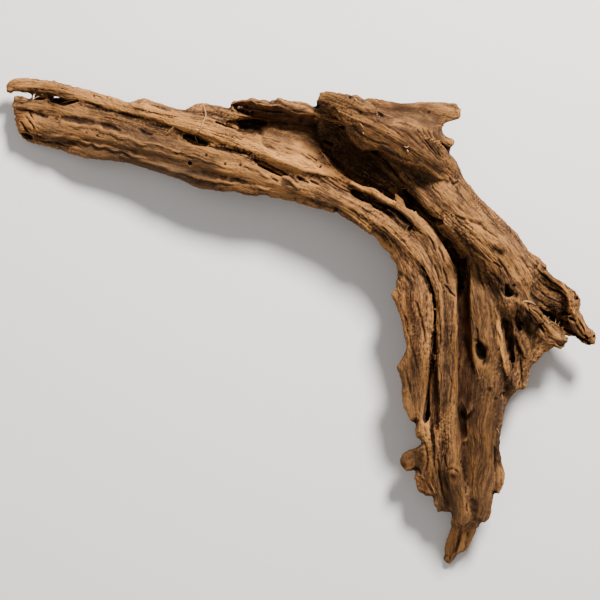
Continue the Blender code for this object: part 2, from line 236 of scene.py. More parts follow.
def branches_as_one():
    bm = bmesh.new()
    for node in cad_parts.values():
        bm.from_mesh(node.data)
    bmesh.ops.remove_doubles(bm, verts=bm.verts, dist=SAME_PLACE)
    wood = drawn("wood", bm)
    voxel_remesh(wood, BASE_VOXEL)
    smooth(wood, BASE_SMOOTHING)
    return wood


wood = branches_as_one()
print("base skin:", len(wood.data.polygons), "faces")

# %% [markdown]
# ## Broad faces
#
# Before any detail, eight places need one broad face each: the smooth pale trough and the dark wall behind
# it, the crown's slope and its rim, the hollow of the spur, and the floors of the channel, of the pocket
# below it and of the long crack. Each face is a few heights on the grid, and the least bent surface through
# them is laid on the wood inside an outline. A sculptor's flatten brush does the same by hand, but numbers
# can be set one by one.

# %% Broad faces
# Each face has the width of its soft border, its outline as x, y and its heights as x, y, z.
FACES = {
    "trough": (
        2.5,
        ((262, 127), (275, 118), (300, 117), (316, 118), (318, 130), (321, 150), (333, 165), (345, 174),
         (338, 178), (305, 171), (288, 164), (272, 157), (262, 143)),
        ((262, 128, 50), (262, 138, 70), (262, 146, 74), (275, 120, 46), (280, 128, 53), (280, 136, 64),
         (280, 146, 74), (280, 157, 76), (300, 119, 50), (300, 130, 56), (300, 140, 66), (300, 150, 73),
         (300, 160, 76), (303, 169, 74), (316, 120, 48), (316, 132, 51), (318, 142, 56), (320, 152, 61),
         (322, 160, 68), (322, 170, 73), (333, 166, 67), (345, 175, 70), (336, 178, 71)),
    ),
    "back_wall": (
        1.5,
        ((231, 103), (240, 100), (252, 99), (257, 103), (270, 105), (277, 104), (287, 109), (298, 114),
         (314, 115), (318, 124), (300, 125), (285, 123), (272, 122), (262, 119), (250, 115), (238, 111)),
        ((232, 103, 66), (240, 101, 69), (251, 100, 74), (258, 104, 75), (270, 106, 75), (278, 105, 78),
         (288, 110, 76), (299, 115, 74), (313, 116, 74), (240, 106, 58), (252, 108, 61), (264, 111, 62),
         (276, 113, 62), (288, 117, 60), (301, 120, 57), (315, 120, 56), (240, 112, 47), (251, 116, 46),
         (263, 120, 46), (274, 123, 48), (288, 124, 51), (302, 126, 53), (316, 125, 50)),
    ),
    "crown_slope": (
        1.2,
        ((346, 118), (358, 121), (370, 125), (382, 131), (394, 139), (406, 148), (420, 158), (436, 168),
         (450, 177), (453, 182), (438, 177), (425, 169), (411, 162), (396, 156), (383, 149), (373, 150),
         (363, 151), (357, 147), (350, 139), (346, 130)),
        ((348, 119, 107), (358, 121, 111), (370, 126, 113), (382, 132, 116), (394, 140, 117),
         (406, 149, 116), (420, 158, 114), (436, 168, 108), (450, 177, 100), (352, 130, 102),
         (360, 136, 107), (370, 138, 111), (382, 141, 113.5), (396, 148, 115), (408, 155, 115),
         (422, 163, 112), (350, 138, 96), (357, 146, 99), (363, 150, 101), (373, 149, 107),
         (383, 148, 110.5), (396, 155, 112), (411, 161, 112), (425, 168, 109), (438, 176, 104),
         (452, 182, 98)),
    ),
    "crown_rim": (
        1.0,
        ((376, 108), (398, 110), (417, 114), (433, 123), (445, 136), (438, 143), (424, 135), (410, 127),
         (398, 124), (378, 121)),
        ((378, 109, 82), (398, 110, 81), (416, 114, 83), (432, 123, 84), (444, 136, 84), (379, 115, 95),
         (398, 117, 93), (412, 120, 96), (427, 129, 97), (440, 140, 95), (379, 121, 111), (398, 124, 113),
         (410, 127, 113), (424, 135, 111), (437, 143, 107)),
    ),
    "spur_hollow": (
        1.2,
        ((538, 266), (547, 273), (555, 279), (562, 286), (567, 293), (570, 301), (571, 311), (560, 313),
         (545, 312), (537, 305), (530, 296), (533, 282), (534, 272)),
        ((546, 272, 73), (555, 279, 71), (562, 285, 69), (567, 292, 69), (570, 300, 68), (571, 310, 64),
         (541, 281, 69), (549, 287, 64), (558, 293, 61), (564, 301, 60), (556, 302, 62), (546, 297, 66),
         (552, 309, 56), (562, 310, 54), (540, 303, 72), (535, 294, 82), (534, 281, 84), (537, 270, 78)),
    ),
    "channel_floor": (
        1.2,
        ((457, 262), (466, 258), (469, 275), (468.4, 300), (470, 330), (470, 348), (472, 362), (477, 378),
         (477, 394), (472, 410), (466, 418), (459, 418), (457.4, 404), (458.2, 388), (457.2, 370),
         (458.4, 352), (457.2, 336), (458.2, 318), (456.8, 300), (457.8, 285)),
        ((462, 262, 38), (463, 285, 42), (463, 310, 43), (464, 340, 46), (464, 365, 54), (463, 400, 60),
         (460, 440, 66), (469, 300, 46), (470, 340, 52), (471, 365, 62), (476, 380, 69), (476, 393, 70),
         (472, 408, 69), (467, 400, 62), (458, 300, 42), (458, 340, 46), (458, 380, 55)),
    ),
    "pocket": (
        1.0,
        ((457, 404), (462, 402), (466, 412), (468, 426), (467.6, 437), (465, 443), (461.6, 438),
         (459.4, 426), (457.6, 414)),
        ((458, 405, 59), (462, 404, 59), (459, 415, 55), (463, 415, 55), (466, 413, 61), (460, 427, 53),
         (464, 427, 54), (468, 427, 64), (462, 437, 55), (466, 437, 59), (465, 442, 66)),
    ),
    "crack_floor": (
        0.8,
        ((433.6, 354), (435.4, 354), (436.6, 366), (437.8, 382), (438.5, 400), (438, 425), (436, 446),
         (433, 446), (430, 425), (429, 400), (430, 382), (432.2, 366)),
        ((434, 354, 69), (434, 366, 64), (434, 380, 60), (434, 400, 57), (434, 425, 59), (434, 446, 65),
         (430, 400, 56), (438, 400, 59)),
    ),
}
FACE_FLOOR = 20
FACING_UP = (-0.35, 0.0)
NEVER_ZERO = 1e-9


def depth_inside(outline, x, y):
    """How far each place lies inside a closed outline, in squares. It is below 0 outside."""
    inside = np.zeros(len(x), dtype=bool)
    nearest = np.full(len(x), np.inf)
    for (ax, ay), (bx, by) in zip(outline, outline[1:] + outline[:1]):
        dx, dy = bx - ax, by - ay
        t = (((x - ax) * dx + (y - ay) * dy) / (dx * dx + dy * dy)).clip(0, 1)
        nearest = np.minimum(nearest, np.hypot(x - ax - t * dx, y - ay - t * dy))
        inside ^= ((ay > y) != (by > y)) & (x < ax + dx * (y - ay) / (dy or 1))
    return np.where(inside, nearest, -nearest)


def least_bent(spots, x, y):
    """The heights at places x, y of the least bent surface through spots of x, y, z."""
    spots = np.array(spots, dtype=float)

    def terms(x, y):
        gaps = (x[:, None] - spots[:, 0]) ** 2 + (y[:, None] - spots[:, 1]) ** 2
        return np.hstack([gaps * np.log(gaps + NEVER_ZERO), np.ones((len(x), 1)), x[:, None], y[:, None]])

    count = len(spots)
    system = np.zeros((count + 3, count + 3))
    system[:count] = terms(spots[:, 0], spots[:, 1])
    system[count:, :count] = system[:count, count:].T
    return terms(x, y) @ np.linalg.solve(system, np.concatenate([spots[:, 2], np.zeros(3)]))


def smooth_step(values, low, high):
    """0 up to the low value, 1 from the high one on, and a soft slope between them."""
    t = ((values - low) / (high - low)).clip(0, 1)
    return t * t * (3 - 2 * t)


def read(items, name, columns=1, kind=np.float64):
    """One property of many items as an array, with a row for each item where it has several columns."""
    values = np.empty(len(items) * columns, dtype=kind)
    items.foreach_get(name, values)
    return values.reshape(-1, columns) if columns > 1 else values


def read_vertices(mesh):
    """The places and the normals of the vertices."""
    return read(mesh.vertices, "co", 3), read(mesh.vertex_normals, "vector", 3)


def write_vertices(mesh, points):
    mesh.vertices.foreach_set("co", points.ravel())
    mesh.update()


def lay_faces():
    points, normals = read_vertices(wood.data)
    squares = on_grid(points)
    upward = smooth_step(normals[:, 2], *FACING_UP)
    for border, outline, spots in FACES.values():
        inside = depth_inside(outline, squares[:, 0], squares[:, 1])
        chosen = np.flatnonzero((inside > -border) & (squares[:, 2] > FACE_FLOOR))
        target = least_bent(spots, squares[chosen, 0], squares[chosen, 1])
        share = smooth_step(inside[chosen], -border, border) * upward[chosen]
        squares[chosen, 2] += share * (target - squares[chosen, 2])
    write_vertices(wood.data, off_grid(squares))


lay_faces()
print("faces:", ", ".join(FACES))

# %% [markdown]
# ## Strands and holes
#
# Thick fibres stand proud of the skin and cast real shadows, so they are swept curves with a radius at each
# point, laid on the skin by looking down on it from the eye. A few more lie deeper, as the floors of
# hollows. Splits and rotted holes are swept in the same way, one curve under another for depth, and cut
# away. Remeshing with fine voxels then melts everything into one surface again. A displacement could do
# this too, but it can't make an overhang, and the overhangs are what look like driftwood.

# %% Read heights off the skin
STEP = 2.5
SAG_ROUNDS = 6
SHAKE = 0.22
SWELL = 0.10
WOBBLE_WEIGHTS = (1, 2, 3, 2, 1)
WOBBLE_SPREAD = 4.4
dice = np.random.default_rng(7)


class Skin:
    """Answers how high the wood is, seen from the eye, at a place on the grid."""

    def __init__(self, thing):
        self.mesh = thing.data
        bm = bmesh.new()
        bm.from_mesh(thing.data)
        self.tree = BVHTree.FromBMesh(bm)
        bm.free()

    def shares(self, spot):
        """The corners of the face nearest to a spot in metres, and how much each counts there."""
        spot, _, index, _ = self.tree.find_nearest(spot)
        corners = list(self.mesh.polygons[index].vertices)
        return corners, poly_3d_calc([self.mesh.vertices[corner].co for corner in corners], spot)

    def first_hit(self, start, end):
        """How high the first face on the way from start to end is, or None."""
        hit = self.tree.ray_cast(start, (end - start).normalized())[0]
        return None if hit is None else hit.z / GRID

    def height(self, x, y):
        return self.first_hit(camera.location, place(x, y, DRAWN_HEIGHT))

    def underside(self, x, y):
        """How high the lowest face over a place on the floor is."""
        return self.first_hit(place(x, y, 0), camera.location) or 0


def curve_points(stations):
    """Evenly spaced rows along a smooth curve through the stations, whatever number of columns they have."""
    stations = np.array(stations, dtype=float)
    ends = np.vstack([2 * stations[0] - stations[1], stations, 2 * stations[-1] - stations[-2]])
    rows = []
    for a, b, c, d in zip(ends, ends[1:], ends[2:], ends[3:]):
        count = max(2, int(np.hypot(*(c - b)[:2]) / STEP))
        t = (np.arange(count) / count)[:, None]
        bend, twist = 2 * a - 5 * b + 4 * c - d, 3 * b - a - 3 * c + d
        rows.append(0.5 * (2 * b + (c - a) * t + bend * t**2 + twist * t**3))
    rows.append(stations[-1:])
    return np.vstack(rows)


def heights_along(skin, rows):
    """The skin's height under each row, with gaps filled from their neighbours and small steps ironed out."""
    found = [skin.height(x, y) for x, y in rows[:, :2]]
    known = [i for i, z in enumerate(found) if z is not None]
    if not known:
        return np.full(len(rows), float(DRAWN_HEIGHT))
    heights = np.interp(range(len(found)), known, [found[i] for i in known])
    for _ in range(SAG_ROUNDS):
        padded = np.concatenate([heights[:1], heights, heights[-1:]])
        heights = (padded[:-2] + padded[1:-1] + padded[2:]) / 3
    return heights


def wobble(count):
    """Three columns of random values that change slowly from row to row."""
    values = dice.normal(size=(count + len(WOBBLE_WEIGHTS) - 1, 3))
    return sum(weight * values[i:i + count] for i, weight in enumerate(WOBBLE_WEIGHTS)) / WOBBLE_SPREAD


def sweep(curve, rows, heights):
    """Adds one round, slightly uneven strand to a curve, from rows of x, y and radius and their heights."""
    uneven = wobble(len(rows)) * (SHAKE, SHAKE, SWELL)
    rows = np.column_stack([rows[:, :2] + rows[:, 2:] * uneven[:, :2], rows[:, 2] * (1 + uneven[:, 2])])
    spline = curve.splines.new("POLY")
    spline.points.add(len(rows) - 1)
    for point, (x, y, radius), z in zip(spline.points, rows, heights):
        point.co = (*place(x, y, z), 1)
        point.radius = radius * GRID


def swept_mesh(name):
    """An empty curve object that turns radii straight into thickness."""
    curve = bpy.data.curves.new(name, "CURVE")
    curve.dimensions = "3D"
    curve.bevel_depth = 1
    curve.bevel_resolution = 2
    curve.use_fill_caps = True
    return linked(name, curve)


skin = Skin(wood)
print("the rail is", round(skin.height(200, 125), 1), "squares high and the leg",
      round(skin.height(480, 400), 1))

# %% Strands that stand proud
# Stations are x, y and radius on the grid. The first number is how far the middle of the strand stands
# above the skin, in radii.
PROUD_STRANDS = {
    "trench_lip": (0.1, (349.5, 184, 1.8), (355, 185, 2.4), (362, 188, 2.8), (374, 193.5, 3),
                   (386, 199.5, 3), (396, 205, 2.2)),
    "leg_fold": (-0.1, (495, 308, 0.9), (498.8, 318, 1.7), (497.6, 328, 1.4), (501.6, 338, 2.0),
                 (500.8, 348, 1.5), (504, 357, 2.0), (504.2, 366, 1.4), (508, 377, 1)),
    "leg_fold_right": (-0.3, (512, 316, 2), (517, 333, 3.4), (521, 344, 3.4), (525, 358, 2)),
    "channel_lip": (-0.2, (454, 286, 1.0), (455.8, 298, 1.6), (454.4, 312, 2.0), (456.2, 326, 1.6),
                    (454.6, 342, 2.1), (456.2, 358, 1.6), (454.4, 376, 2), (455.8, 390, 1.5),
                    (454.5, 402, 1.1)),
    "low_spur": (-0.35, (517, 300, 3), (527, 307, 5), (536, 316, 6), (545, 328, 6), (556, 337, 5),
                 (567, 341, 3)),
    "spur_edge": (0.0, (560, 283, 0.9), (564, 287, 1.4), (568, 292, 1.7), (571, 300, 1.8),
                  (573.5, 308, 1.7), (574, 315, 1.1)),
    "spur_plate": (-0.4, (577, 315, 2), (581, 322, 3.6), (586, 330, 4), (591, 338, 2.6)),
    "crown_edge": (-0.6, (374, 149, 1.2), (385, 150, 1.8), (397, 156, 2.1), (411, 162, 2.1),
                   (425, 169, 2.1), (438, 176, 2), (450, 181, 1.2)),
    "toe_ridge": (0.3, (465, 530, 2), (463, 542, 3), (457, 555, 2.6)),
    "hem_fold": (-0.2, (416, 475, 0.8), (424, 477, 1.3), (431, 484, 1.5), (435, 494, 1.0)),
    "nub": (0.8, (438, 139, 3), (444, 141, 4.2), (449, 142.6, 4), (453, 144, 2.6)),
    "pale_lump": (0.0, (444, 220, 2.6), (449, 226, 4.2), (453, 233, 2.4)),
    "rail_lump": (-0.3, (279, 175, 1.6), (285, 178, 3.2), (292, 182, 3.4), (299, 187, 1.6)),
    "grey_lump": (-0.1, (242, 163, 1.4), (250, 167, 2.6), (258, 171, 2.8), (268, 177, 1.4)),
    "grey_flake": (0.2, (213, 117, 2), (222, 121, 3.4), (231, 125, 3.2), (238, 129, 2)),
    "top_edge": (0.0, (252, 99.5, 1), (260, 101, 1.6), (271, 104, 1.2)),
    "top_flake": (-0.4, (278, 100, 1.4), (288, 104, 3), (300, 108, 4), (314, 111, 2.4)),
    "limb_cord": (-0.3, (38, 134, 2), (60, 135, 3), (90, 142, 3.2), (120, 150, 3), (152, 160, 2)),
    "limb_cord_high": (-0.3, (60, 122, 2), (90, 127, 2.8), (120, 136, 3), (150, 144, 2.8), (180, 153, 2)),
    "limb_cord_low": (-0.3, (120, 155, 2), (160, 166, 3), (200, 177, 3), (240, 184, 2.6), (270, 190, 2)),
}


# Wood at a height of its own: floors deep inside five hollows, and two torn flakes. Each station is x, y,
# the radius and the height.
FLOORS = (
    ((33.5, 96.4, 2.6, 21), (37, 97, 3.6, 20.5), (42, 98.2, 4, 20), (50, 99.2, 4.4, 22),
     (58, 100.2, 4.4, 23), (68, 101.2, 3.4, 24)),
    ((233, 105, 2.6, 50), (240, 108, 4.6, 42), (248, 112, 4.4, 42), (256, 121, 5, 34), (268, 125, 3, 34)),
    ((404, 209, 3, 79), (399.5, 203, 3.2, 79), (396.5, 197, 1.5, 80), (395.6, 194, 0.6, 81)),
    ((386, 211, 2.6, 69), (397, 217.5, 4, 71.5), (409, 228, 3, 75)),
    ((424, 224, 3, 79.5), (419.5, 218, 3, 79.5), (416.5, 214, 1.6, 80), (415.6, 211, 0.6, 81)),
    ((507, 288, 2.6, 82), (511, 291, 4, 82), (515, 294.5, 2.6, 82)),
    ((462, 350, 3.6, 44.5), (463, 362, 4.6, 48), (464, 374, 4.6, 51)),
)


def all_strands():
    """The floors and then the proud strands, as one curve object."""
    bundle = swept_mesh("strands")
    for stations in FLOORS:
        rows = curve_points(stations)
        sweep(bundle.data, rows[:, :3], rows[:, 3])
    for lift, *stations in PROUD_STRANDS.values():
        rows = curve_points(stations)
        sweep(bundle.data, rows, heights_along(skin, rows) + lift * rows[:, 2])
    return bundle


strands = all_strands()
print("strands:", len(strands.data.splines))

# %% Splits and holes
# Stations are x, y and radius again. The first number is how deep the cut goes, in squares, and from
# THROUGH on it goes right through the wood.
CUTS = {
    "limb_crevice": (10, (46, 98.4, 2.2), (52, 99.4, 3.4), (60, 101, 3.4), (69, 101.8, 2.2),
                     (79, 100.6, 0.9)),
    "rail_hole": (12, (182, 135, 1.6), (190, 137, 3), (200, 141, 3), (208, 144, 1.5)),
    "end_pocket": (6, (20, 130, 2), (27, 134, 3.4), (33, 138, 2)),
    "recess": (4, (254, 160, 2), (266, 165, 3), (278, 171, 3), (288, 175, 1.6)),
    "recess_slit": (9, (257, 164, 1), (265, 168, 1.4), (275, 173, 1.4), (284, 177, 1)),
    "pin_hole": (5, (189, 162, 1.6), (192, 164, 1.6)),
    "window": (16, (236, 121, 3), (245, 124, 5), (256, 124, 6), (267, 124, 2.6)),
    "window_low": (14, (236, 131, 2), (246, 133, 3.4), (255, 135, 2)),
    "behind_rail": (5, (214, 121, 0.8), (226, 126, 1.3), (236, 129, 1.1)),
    "trench": (4, (350.5, 189.5, 1.4), (356, 193.5, 3.2), (364, 199.5, 3.8), (374, 205.5, 3.4),
               (384, 210, 1.8)),
    "slot": (14, (402, 188, 2), (412, 198, 4), (424, 210, 4.4), (436, 219, 4.2), (446, 223, 2)),
    "spur_web": (12, (541, 309, 1.2), (548, 314, 2.4), (556, 319, 3.8), (563, 322.5, 4), (569, 323, 2.6)),
    "spur_web_high": (10, (558, 314, 1.6), (565, 313.5, 2.4), (571, 314.5, 1.6)),
    "spur_under": (7, (563, 329, 1.4), (571, 332, 1.9), (581, 338, 1.7), (590, 344, 1.2)),
    "spur_hole_1": (6, (571, 291, 1), (574, 294, 1.7), (572.5, 298, 1.7), (575.5, 300, 1.2)),
    "spur_hole_2": (5, (573.5, 303.5, 0.9), (576, 307.5, 0.9)),
    "spur_hole_3": (7, (569, 318, 1.6), (573, 319, 2), (577, 322, 1.4)),
    "spur_hole_4": (4, (583.5, 335, 1.2), (586, 336.5, 1.4), (588.5, 339.5, 1.1)),
    "spur_hole_5": (4, (592.5, 337, 0.9), (595.5, 335.5, 1.1)),
    "chip_hole": (3, (524, 303.5, 0.7), (530, 304.8, 1.2), (533, 306, 0.8)),
    "flank_recess": (10, (518, 309, 2), (519, 320, 3), (521, 330, 2)),
    "flank_dish": (5, (506, 321, 2), (508, 334, 3.6), (511, 348, 3.6), (512, 362, 2)),
    "long_crack": (14, (417, 261, 0.8), (424, 270, 0.95), (429, 280, 1.0), (433, 292, 1.0),
                   (434.5, 305, 1.0), (434.8, 318, 1.0), (434.8, 332, 1.0), (434.5, 350, 1.0),
                   (433.6, 364, 1.1), (432.8, 374, 0.9)),
    "side_crack": (8, (429.5, 397, 0.9), (428.5, 408, 1.8), (427, 417, 2.4), (425.5, 426, 1.2)),
    "channel": (12, (443, 236, 3.6), (450, 248, 6.4), (456.5, 260, 7), (460.5, 274, 5.6), (461.5, 290, 4)),
    "wall_hole_1": (6, (323, 141, 1.8), (333, 145, 2.2)),
    "wall_hole_2": (6, (321, 151, 1.8), (329, 157, 2.2)),
    "tip_gap": (70, (8, 95.5, 1), (11, 94.4, 1.3), (14, 93.4, 2.1), (19, 93.6, 2.0), (24, 94.2, 1.5),
                (28, 95.2, 1)),
}
CUT_SPACING = 1.5
THROUGH = 60
LEFT_UNDER = 5


def cutters():
    """Every cut as a stack of sweeps, each a little deeper than the one before."""
    bundle = swept_mesh("cuts")
    for depth, *stations in CUTS.values():
        rows = curve_points(stations)
        heights = heights_along(skin, rows)
        lowest = [skin.underside(x, y) + radius + LEFT_UNDER for x, y, radius in rows]
        spacing = CUT_SPACING * rows[:, 2].mean()
        for level in range(max(1, round(depth / spacing)) + 1):
            sunk = heights - level * spacing
            sweep(bundle.data, rows, sunk if depth >= THROUGH else np.maximum(sunk, lowest))
    return bundle


hollows = cutters()
print("cuts:", len(CUTS), "as", len(hollows.data.splines), "sweeps")

# %% Melt the strands in and cut the holes
FINE_VOXEL = 0.00054
CUTTER_VOXEL = 0.0006
FINE_SMOOTHING = 1


def join_in(thing, other):
    """Adds the other object's mesh to the first one's."""
    bm = bmesh.new()
    bm.from_mesh(thing.data)
    bm.from_mesh(other.data)
    bm.to_mesh(thing.data)
    bm.free()
    bpy.data.objects.remove(other)


def curve_to_solid(curve):
    """The swept curve as a mesh object in its place."""
    graph = bpy.context.evaluated_depsgraph_get()
    solid = linked(curve.name + "_solid", bpy.data.meshes.new_from_object(curve.evaluated_get(graph)))
    bpy.data.objects.remove(curve)
    return solid


def boolean(thing, operation, other):
    step = thing.modifiers.new(operation.lower(), "BOOLEAN")
    step.operation = operation
    step.solver = "MANIFOLD"
    step.object = other
    settle(thing)


join_in(wood, curve_to_solid(strands))
voxel_remesh(wood, FINE_VOXEL)
cutter = curve_to_solid(hollows)
voxel_remesh(cutter, CUTTER_VOXEL)
boolean(wood, "DIFFERENCE", cutter)
bpy.data.objects.remove(cutter)
voxel_remesh(wood, FINE_VOXEL)
smooth(wood, FINE_SMOOTHING)
print("fine skin:", len(wood.data.polygons), "faces")

# %% [markdown]
# ## The outline
#
# Seen from above, broken flakes and torn fibres give the wood a ragged edge that voxels have rounded off.
# The wood and the outline below are compared cell by cell, and vertices near the edge are moved sideways,
# out or in, to bring the two together. It is done twice, because the first time doesn't take up all of the
# gap.

# %% The outline
# Places on the grid, clockwise.
OUTLINE = {
    "rail end": ((9, 92), (8, 94.8), (6.8, 94), (7.5, 91.5), (6.8, 89), (6.5, 85), (7.5, 83), (10, 80.8),
                 (14, 79.3), (18, 78.2), (23, 78.5), (29, 78.2), (33, 79.2), (40, 79.7), (46, 80.8),
                 (47.5, 79.8), (49, 81), (53, 81.6), (54.5, 79.6), (56, 81.8), (59, 83), (64, 84.2),
                 (70, 85.5), (73, 87.2), (79, 87.5)),
    "rail": ((83, 88.8), (90, 90.3), (95, 92), (100, 93.5), (105, 94.8), (111, 96.5), (115, 98),
             (119, 98.8), (122, 100.3), (126, 101.8), (130, 102.2), (134, 100.8), (138, 99.3), (144.8, 98),
             (150.6, 100.2), (156, 102.3), (161.3, 103.4), (164.5, 104.8), (169.8, 106.3), (175, 107.7),
             (180, 109), (185.7, 109.2), (189, 107.7), (193, 105), (197.4, 103.4), (201.7, 102.7),
             (208, 103.4), (213.4, 105), (219.8, 106), (225, 107.7), (230.4, 108.4)),
    "flakes": ((229.9, 106.6), (229.9, 102.9), (232.6, 100.7), (239, 99.5), (242, 98.8), (246.4, 99.1),
               (250.6, 97.3), (255, 97.8), (259, 99.5), (265.5, 99.5), (270.9, 101.6), (272.4, 99.5),
               (275.6, 100.5), (276.7, 98), (278.3, 97.3), (282.6, 98.6), (288, 100.5), (293, 100.7),
               (300, 101.4), (306.8, 102.7), (313.6, 105.6), (318.6, 108)),
    "crown": ((318.2, 103.9), (316.8, 102.2), (317.6, 98.8), (318.8, 95.9), (321.6, 92.5), (326.7, 91),
              (333, 91.9), (339.8, 93.6), (345.5, 93.9), (351, 95), (356.8, 95.3), (361.9, 97.6),
              (363.6, 99.3), (368.2, 98.4), (375, 98.2), (381.8, 99.3), (386.4, 100.7), (393, 101.6),
              (400, 103.3), (409, 103.3), (417, 102.2), (425, 101.8), (436.4, 101.8), (445.5, 102.5),
              (455.7, 103.6)),
    "horn": ((459, 106.7), (461.4, 110), (460.5, 114), (460.8, 117), (459, 118.6), (453.4, 120),
             (447.7, 122.3), (443.8, 125), (442.3, 129), (443.8, 133.4), (447.7, 136.6), (452.3, 138),
             (454.8, 140.8), (454.5, 144.8), (451, 148.2), (450, 152.7)),
    "neck": ((453.4, 157.3), (456.8, 161.8), (459, 167.5), (461.4, 173.2), (464.8, 179), (468.2, 184),
             (470.5, 186.3), (480, 198), (491, 208.6), (503, 220), (513.8, 230), (517.4, 233.3),
             (520.8, 238.4), (524.2, 243.5), (526.5, 247), (528.2, 250.3), (532.2, 253.2), (536.7, 255.4),
             (540, 258.3), (542.3, 261.7), (545.2, 264), (546.9, 266), (546, 268), (548, 270.7),
             (549.7, 273.5), (553.6, 277), (558.2, 280.4)),
    "spur": ((562, 282), (565.5, 284.3), (568.3, 287.2), (571.7, 289), (575, 291.7), (578, 295),
             (580, 299), (580.2, 302.5), (579, 307), (578.8, 310.4), (581.4, 314.4), (584.2, 319.5),
             (586.4, 324), (589.3, 327.4), (592.7, 330.8), (595.5, 333.7), (596.3, 337), (595.5, 341),
             (595, 344.4), (592.7, 344.6), (591, 343.3), (591.2, 346), (588.7, 345.6), (585.3, 344.2),
             (581.4, 341.6), (578, 339.3), (574, 336.5), (570, 336)),
    "web": ((569.3, 337), (567.8, 339.3), (568.3, 341.6), (565.5, 343.3), (564.4, 346.7), (560.4, 349),
            (557.6, 347.8), (553.6, 346.7), (551.4, 348.4), (548.6, 350.7), (547.4, 352), (544.6, 351.8),
            (542.3, 354.6), (538.4, 359.2), (536.7, 362), (533.3, 364.3), (531, 367.6), (529.9, 370.5),
            (529.9, 374.4), (528.2, 378.4), (526.5, 382.4), (525.9, 386.3), (523.7, 388.6), (522, 390.7),
            (520.3, 389.2), (517.4, 391), (514.6, 393.7), (511.8, 397)),
    "leg": ((509.9, 399.7), (506, 407), (505, 411.7), (504, 417.7), (502.7, 424.3), (501, 431),
            (500.3, 438), (500, 446.5), (500.3, 455), (501.5, 463.3), (504, 470.5), (504.8, 476.5),
            (504, 483.7), (502, 489), (499.7, 493.3), (498, 495), (496, 493.5), (494.3, 493.3),
            (493.4, 498), (492.5, 503), (492, 508.3), (491.3, 514.3), (489.5, 518.5), (487, 521.5),
            (484, 523), (480.5, 524)),
    "toe": ((479.3, 527), (476.6, 528.7), (475.7, 533.5), (474, 536), (471.5, 541.3), (468.5, 546.7),
            (466.7, 550.3), (462.5, 552.7), (459, 554), (455.3, 558), (453, 561), (451, 563.5),
            (448.7, 564), (445.7, 563), (443.3, 560), (443, 557.5), (444.5, 555.7), (444.5, 552),
            (444, 548.5), (445, 543.7), (446.3, 540), (447.5, 537), (450, 530), (451.4, 525)),
    "hem": ((450.5, 523.3), (451, 519.7), (452, 516), (450.5, 513), (448.5, 511.3), (446.3, 512.5),
            (442.7, 512), (439, 512.8), (436.5, 512), (436, 509), (433.7, 505.3), (433, 502.3),
            (433.4, 499.3), (432.2, 497.5), (429.5, 496.3), (426, 495.7), (422.3, 492.7), (420.2, 492),
            (417.8, 489.7), (416.6, 485), (415.7, 480), (414, 478.6), (415.7, 474), (415, 471.5)),
    "knob": ((419.7, 469.4), (415, 470), (410.3, 470.7), (406.7, 472), (405.5, 471), (402, 467.5),
             (400, 463.3), (400, 459.7), (401.3, 455.8), (404.3, 452.5), (408, 450), (414, 448.5),
             (420, 445.3), (424, 444.3)),
    "strap": ((424, 443), (421.4, 440.5), (418, 438), (415.4, 436.3), (415, 432), (415.8, 426),
              (415, 421.5), (414, 421.4), (412, 422.7), (409.8, 421), (408, 417), (405.5, 412), (403, 407),
              (402.5, 403), (401.5, 395), (401.5, 387), (400, 379), (398, 373), (396, 368), (396.5, 365),
              (401, 359), (404, 354), (406.2, 349), (405.5, 343), (404, 335), (402.5, 327), (401, 320),
              (399, 314), (395.5, 306), (393.5, 301), (391, 296.5)),
    "bend": ((391, 293.5), (393, 290), (395.5, 286), (395, 281.5), (397.5, 278), (397, 275), (398, 271.5),
             (397.5, 268), (397, 265), (395.5, 261.5), (392.5, 259), (390.3, 256), (391, 254.4),
             (387.7, 250.6), (384, 248), (380.8, 244.3), (379, 240.5), (375, 235.4), (370, 233.5),
             (365, 230.5), (361.4, 227.7), (355.7, 224.3), (350, 221), (345.5, 218.6), (339.8, 215.2),
             (335.8, 211.6), (333.5, 213.5)),
    "limb": ((325, 211.3), (319.3, 209.3), (313.6, 208.4), (306.8, 206), (300, 204.4), (294.3, 201.8),
             (289, 201.3), (283.6, 200.2), (280.4, 198.6), (277.2, 199), (271, 197.8), (266.6, 195.4),
             (260.2, 195), (257, 196.3), (249.6, 196), (244.3, 195), (238, 192.8), (232.6, 191.4),
             (228.3, 192.2), (223, 192.2), (216.6, 190.8), (209, 189.6), (201.7, 188.8), (195.3, 186.7),
             (189, 184), (182.6, 181), (175, 178), (166.6, 175.5), (161.3, 173.6), (156, 171.8),
             (150.6, 170.7), (146.4, 168.8), (138, 166.5), (132, 164.5), (126, 163), (120, 162.2)),
    "limb end": ((113, 161.2), (106, 161), (100, 160.2), (90, 158.7), (85, 158.5), (80, 156.8), (74, 155),
                 (69, 153.8), (64, 151.2), (60, 149.7), (59, 150.5), (54, 149), (49, 147), (43, 145.7),
                 (38, 144.5), (31, 143), (28, 142), (25, 139.5), (22, 136), (19, 132.5), (17.5, 128.5),
                 (15.5, 124.5), (16, 121.5), (13.5, 120), (15, 118), (14.2, 113), (13.8, 109), (11.8, 106),
                 (11.2, 103), (13, 100.5), (13.5, 98), (13, 96.4), (17.5, 95.8), (25, 96.5), (31.5, 98.4),
                 (33.4, 97.6), (31, 94.4), (20, 91.8), (13, 91), (11.8, 94.6), (10.6, 92.6)),
}
CELLS = 600
REACH = 9
SIDE_SHARE = 4.5
MARGIN = 0.6
SOFTENING = 4
SHALLOWEST = 0.2


def shifted(cells, dx, dy):
    """The cells moved by a number of columns and rows."""
    return np.roll(cells, (dy, dx), axis=(0, 1))


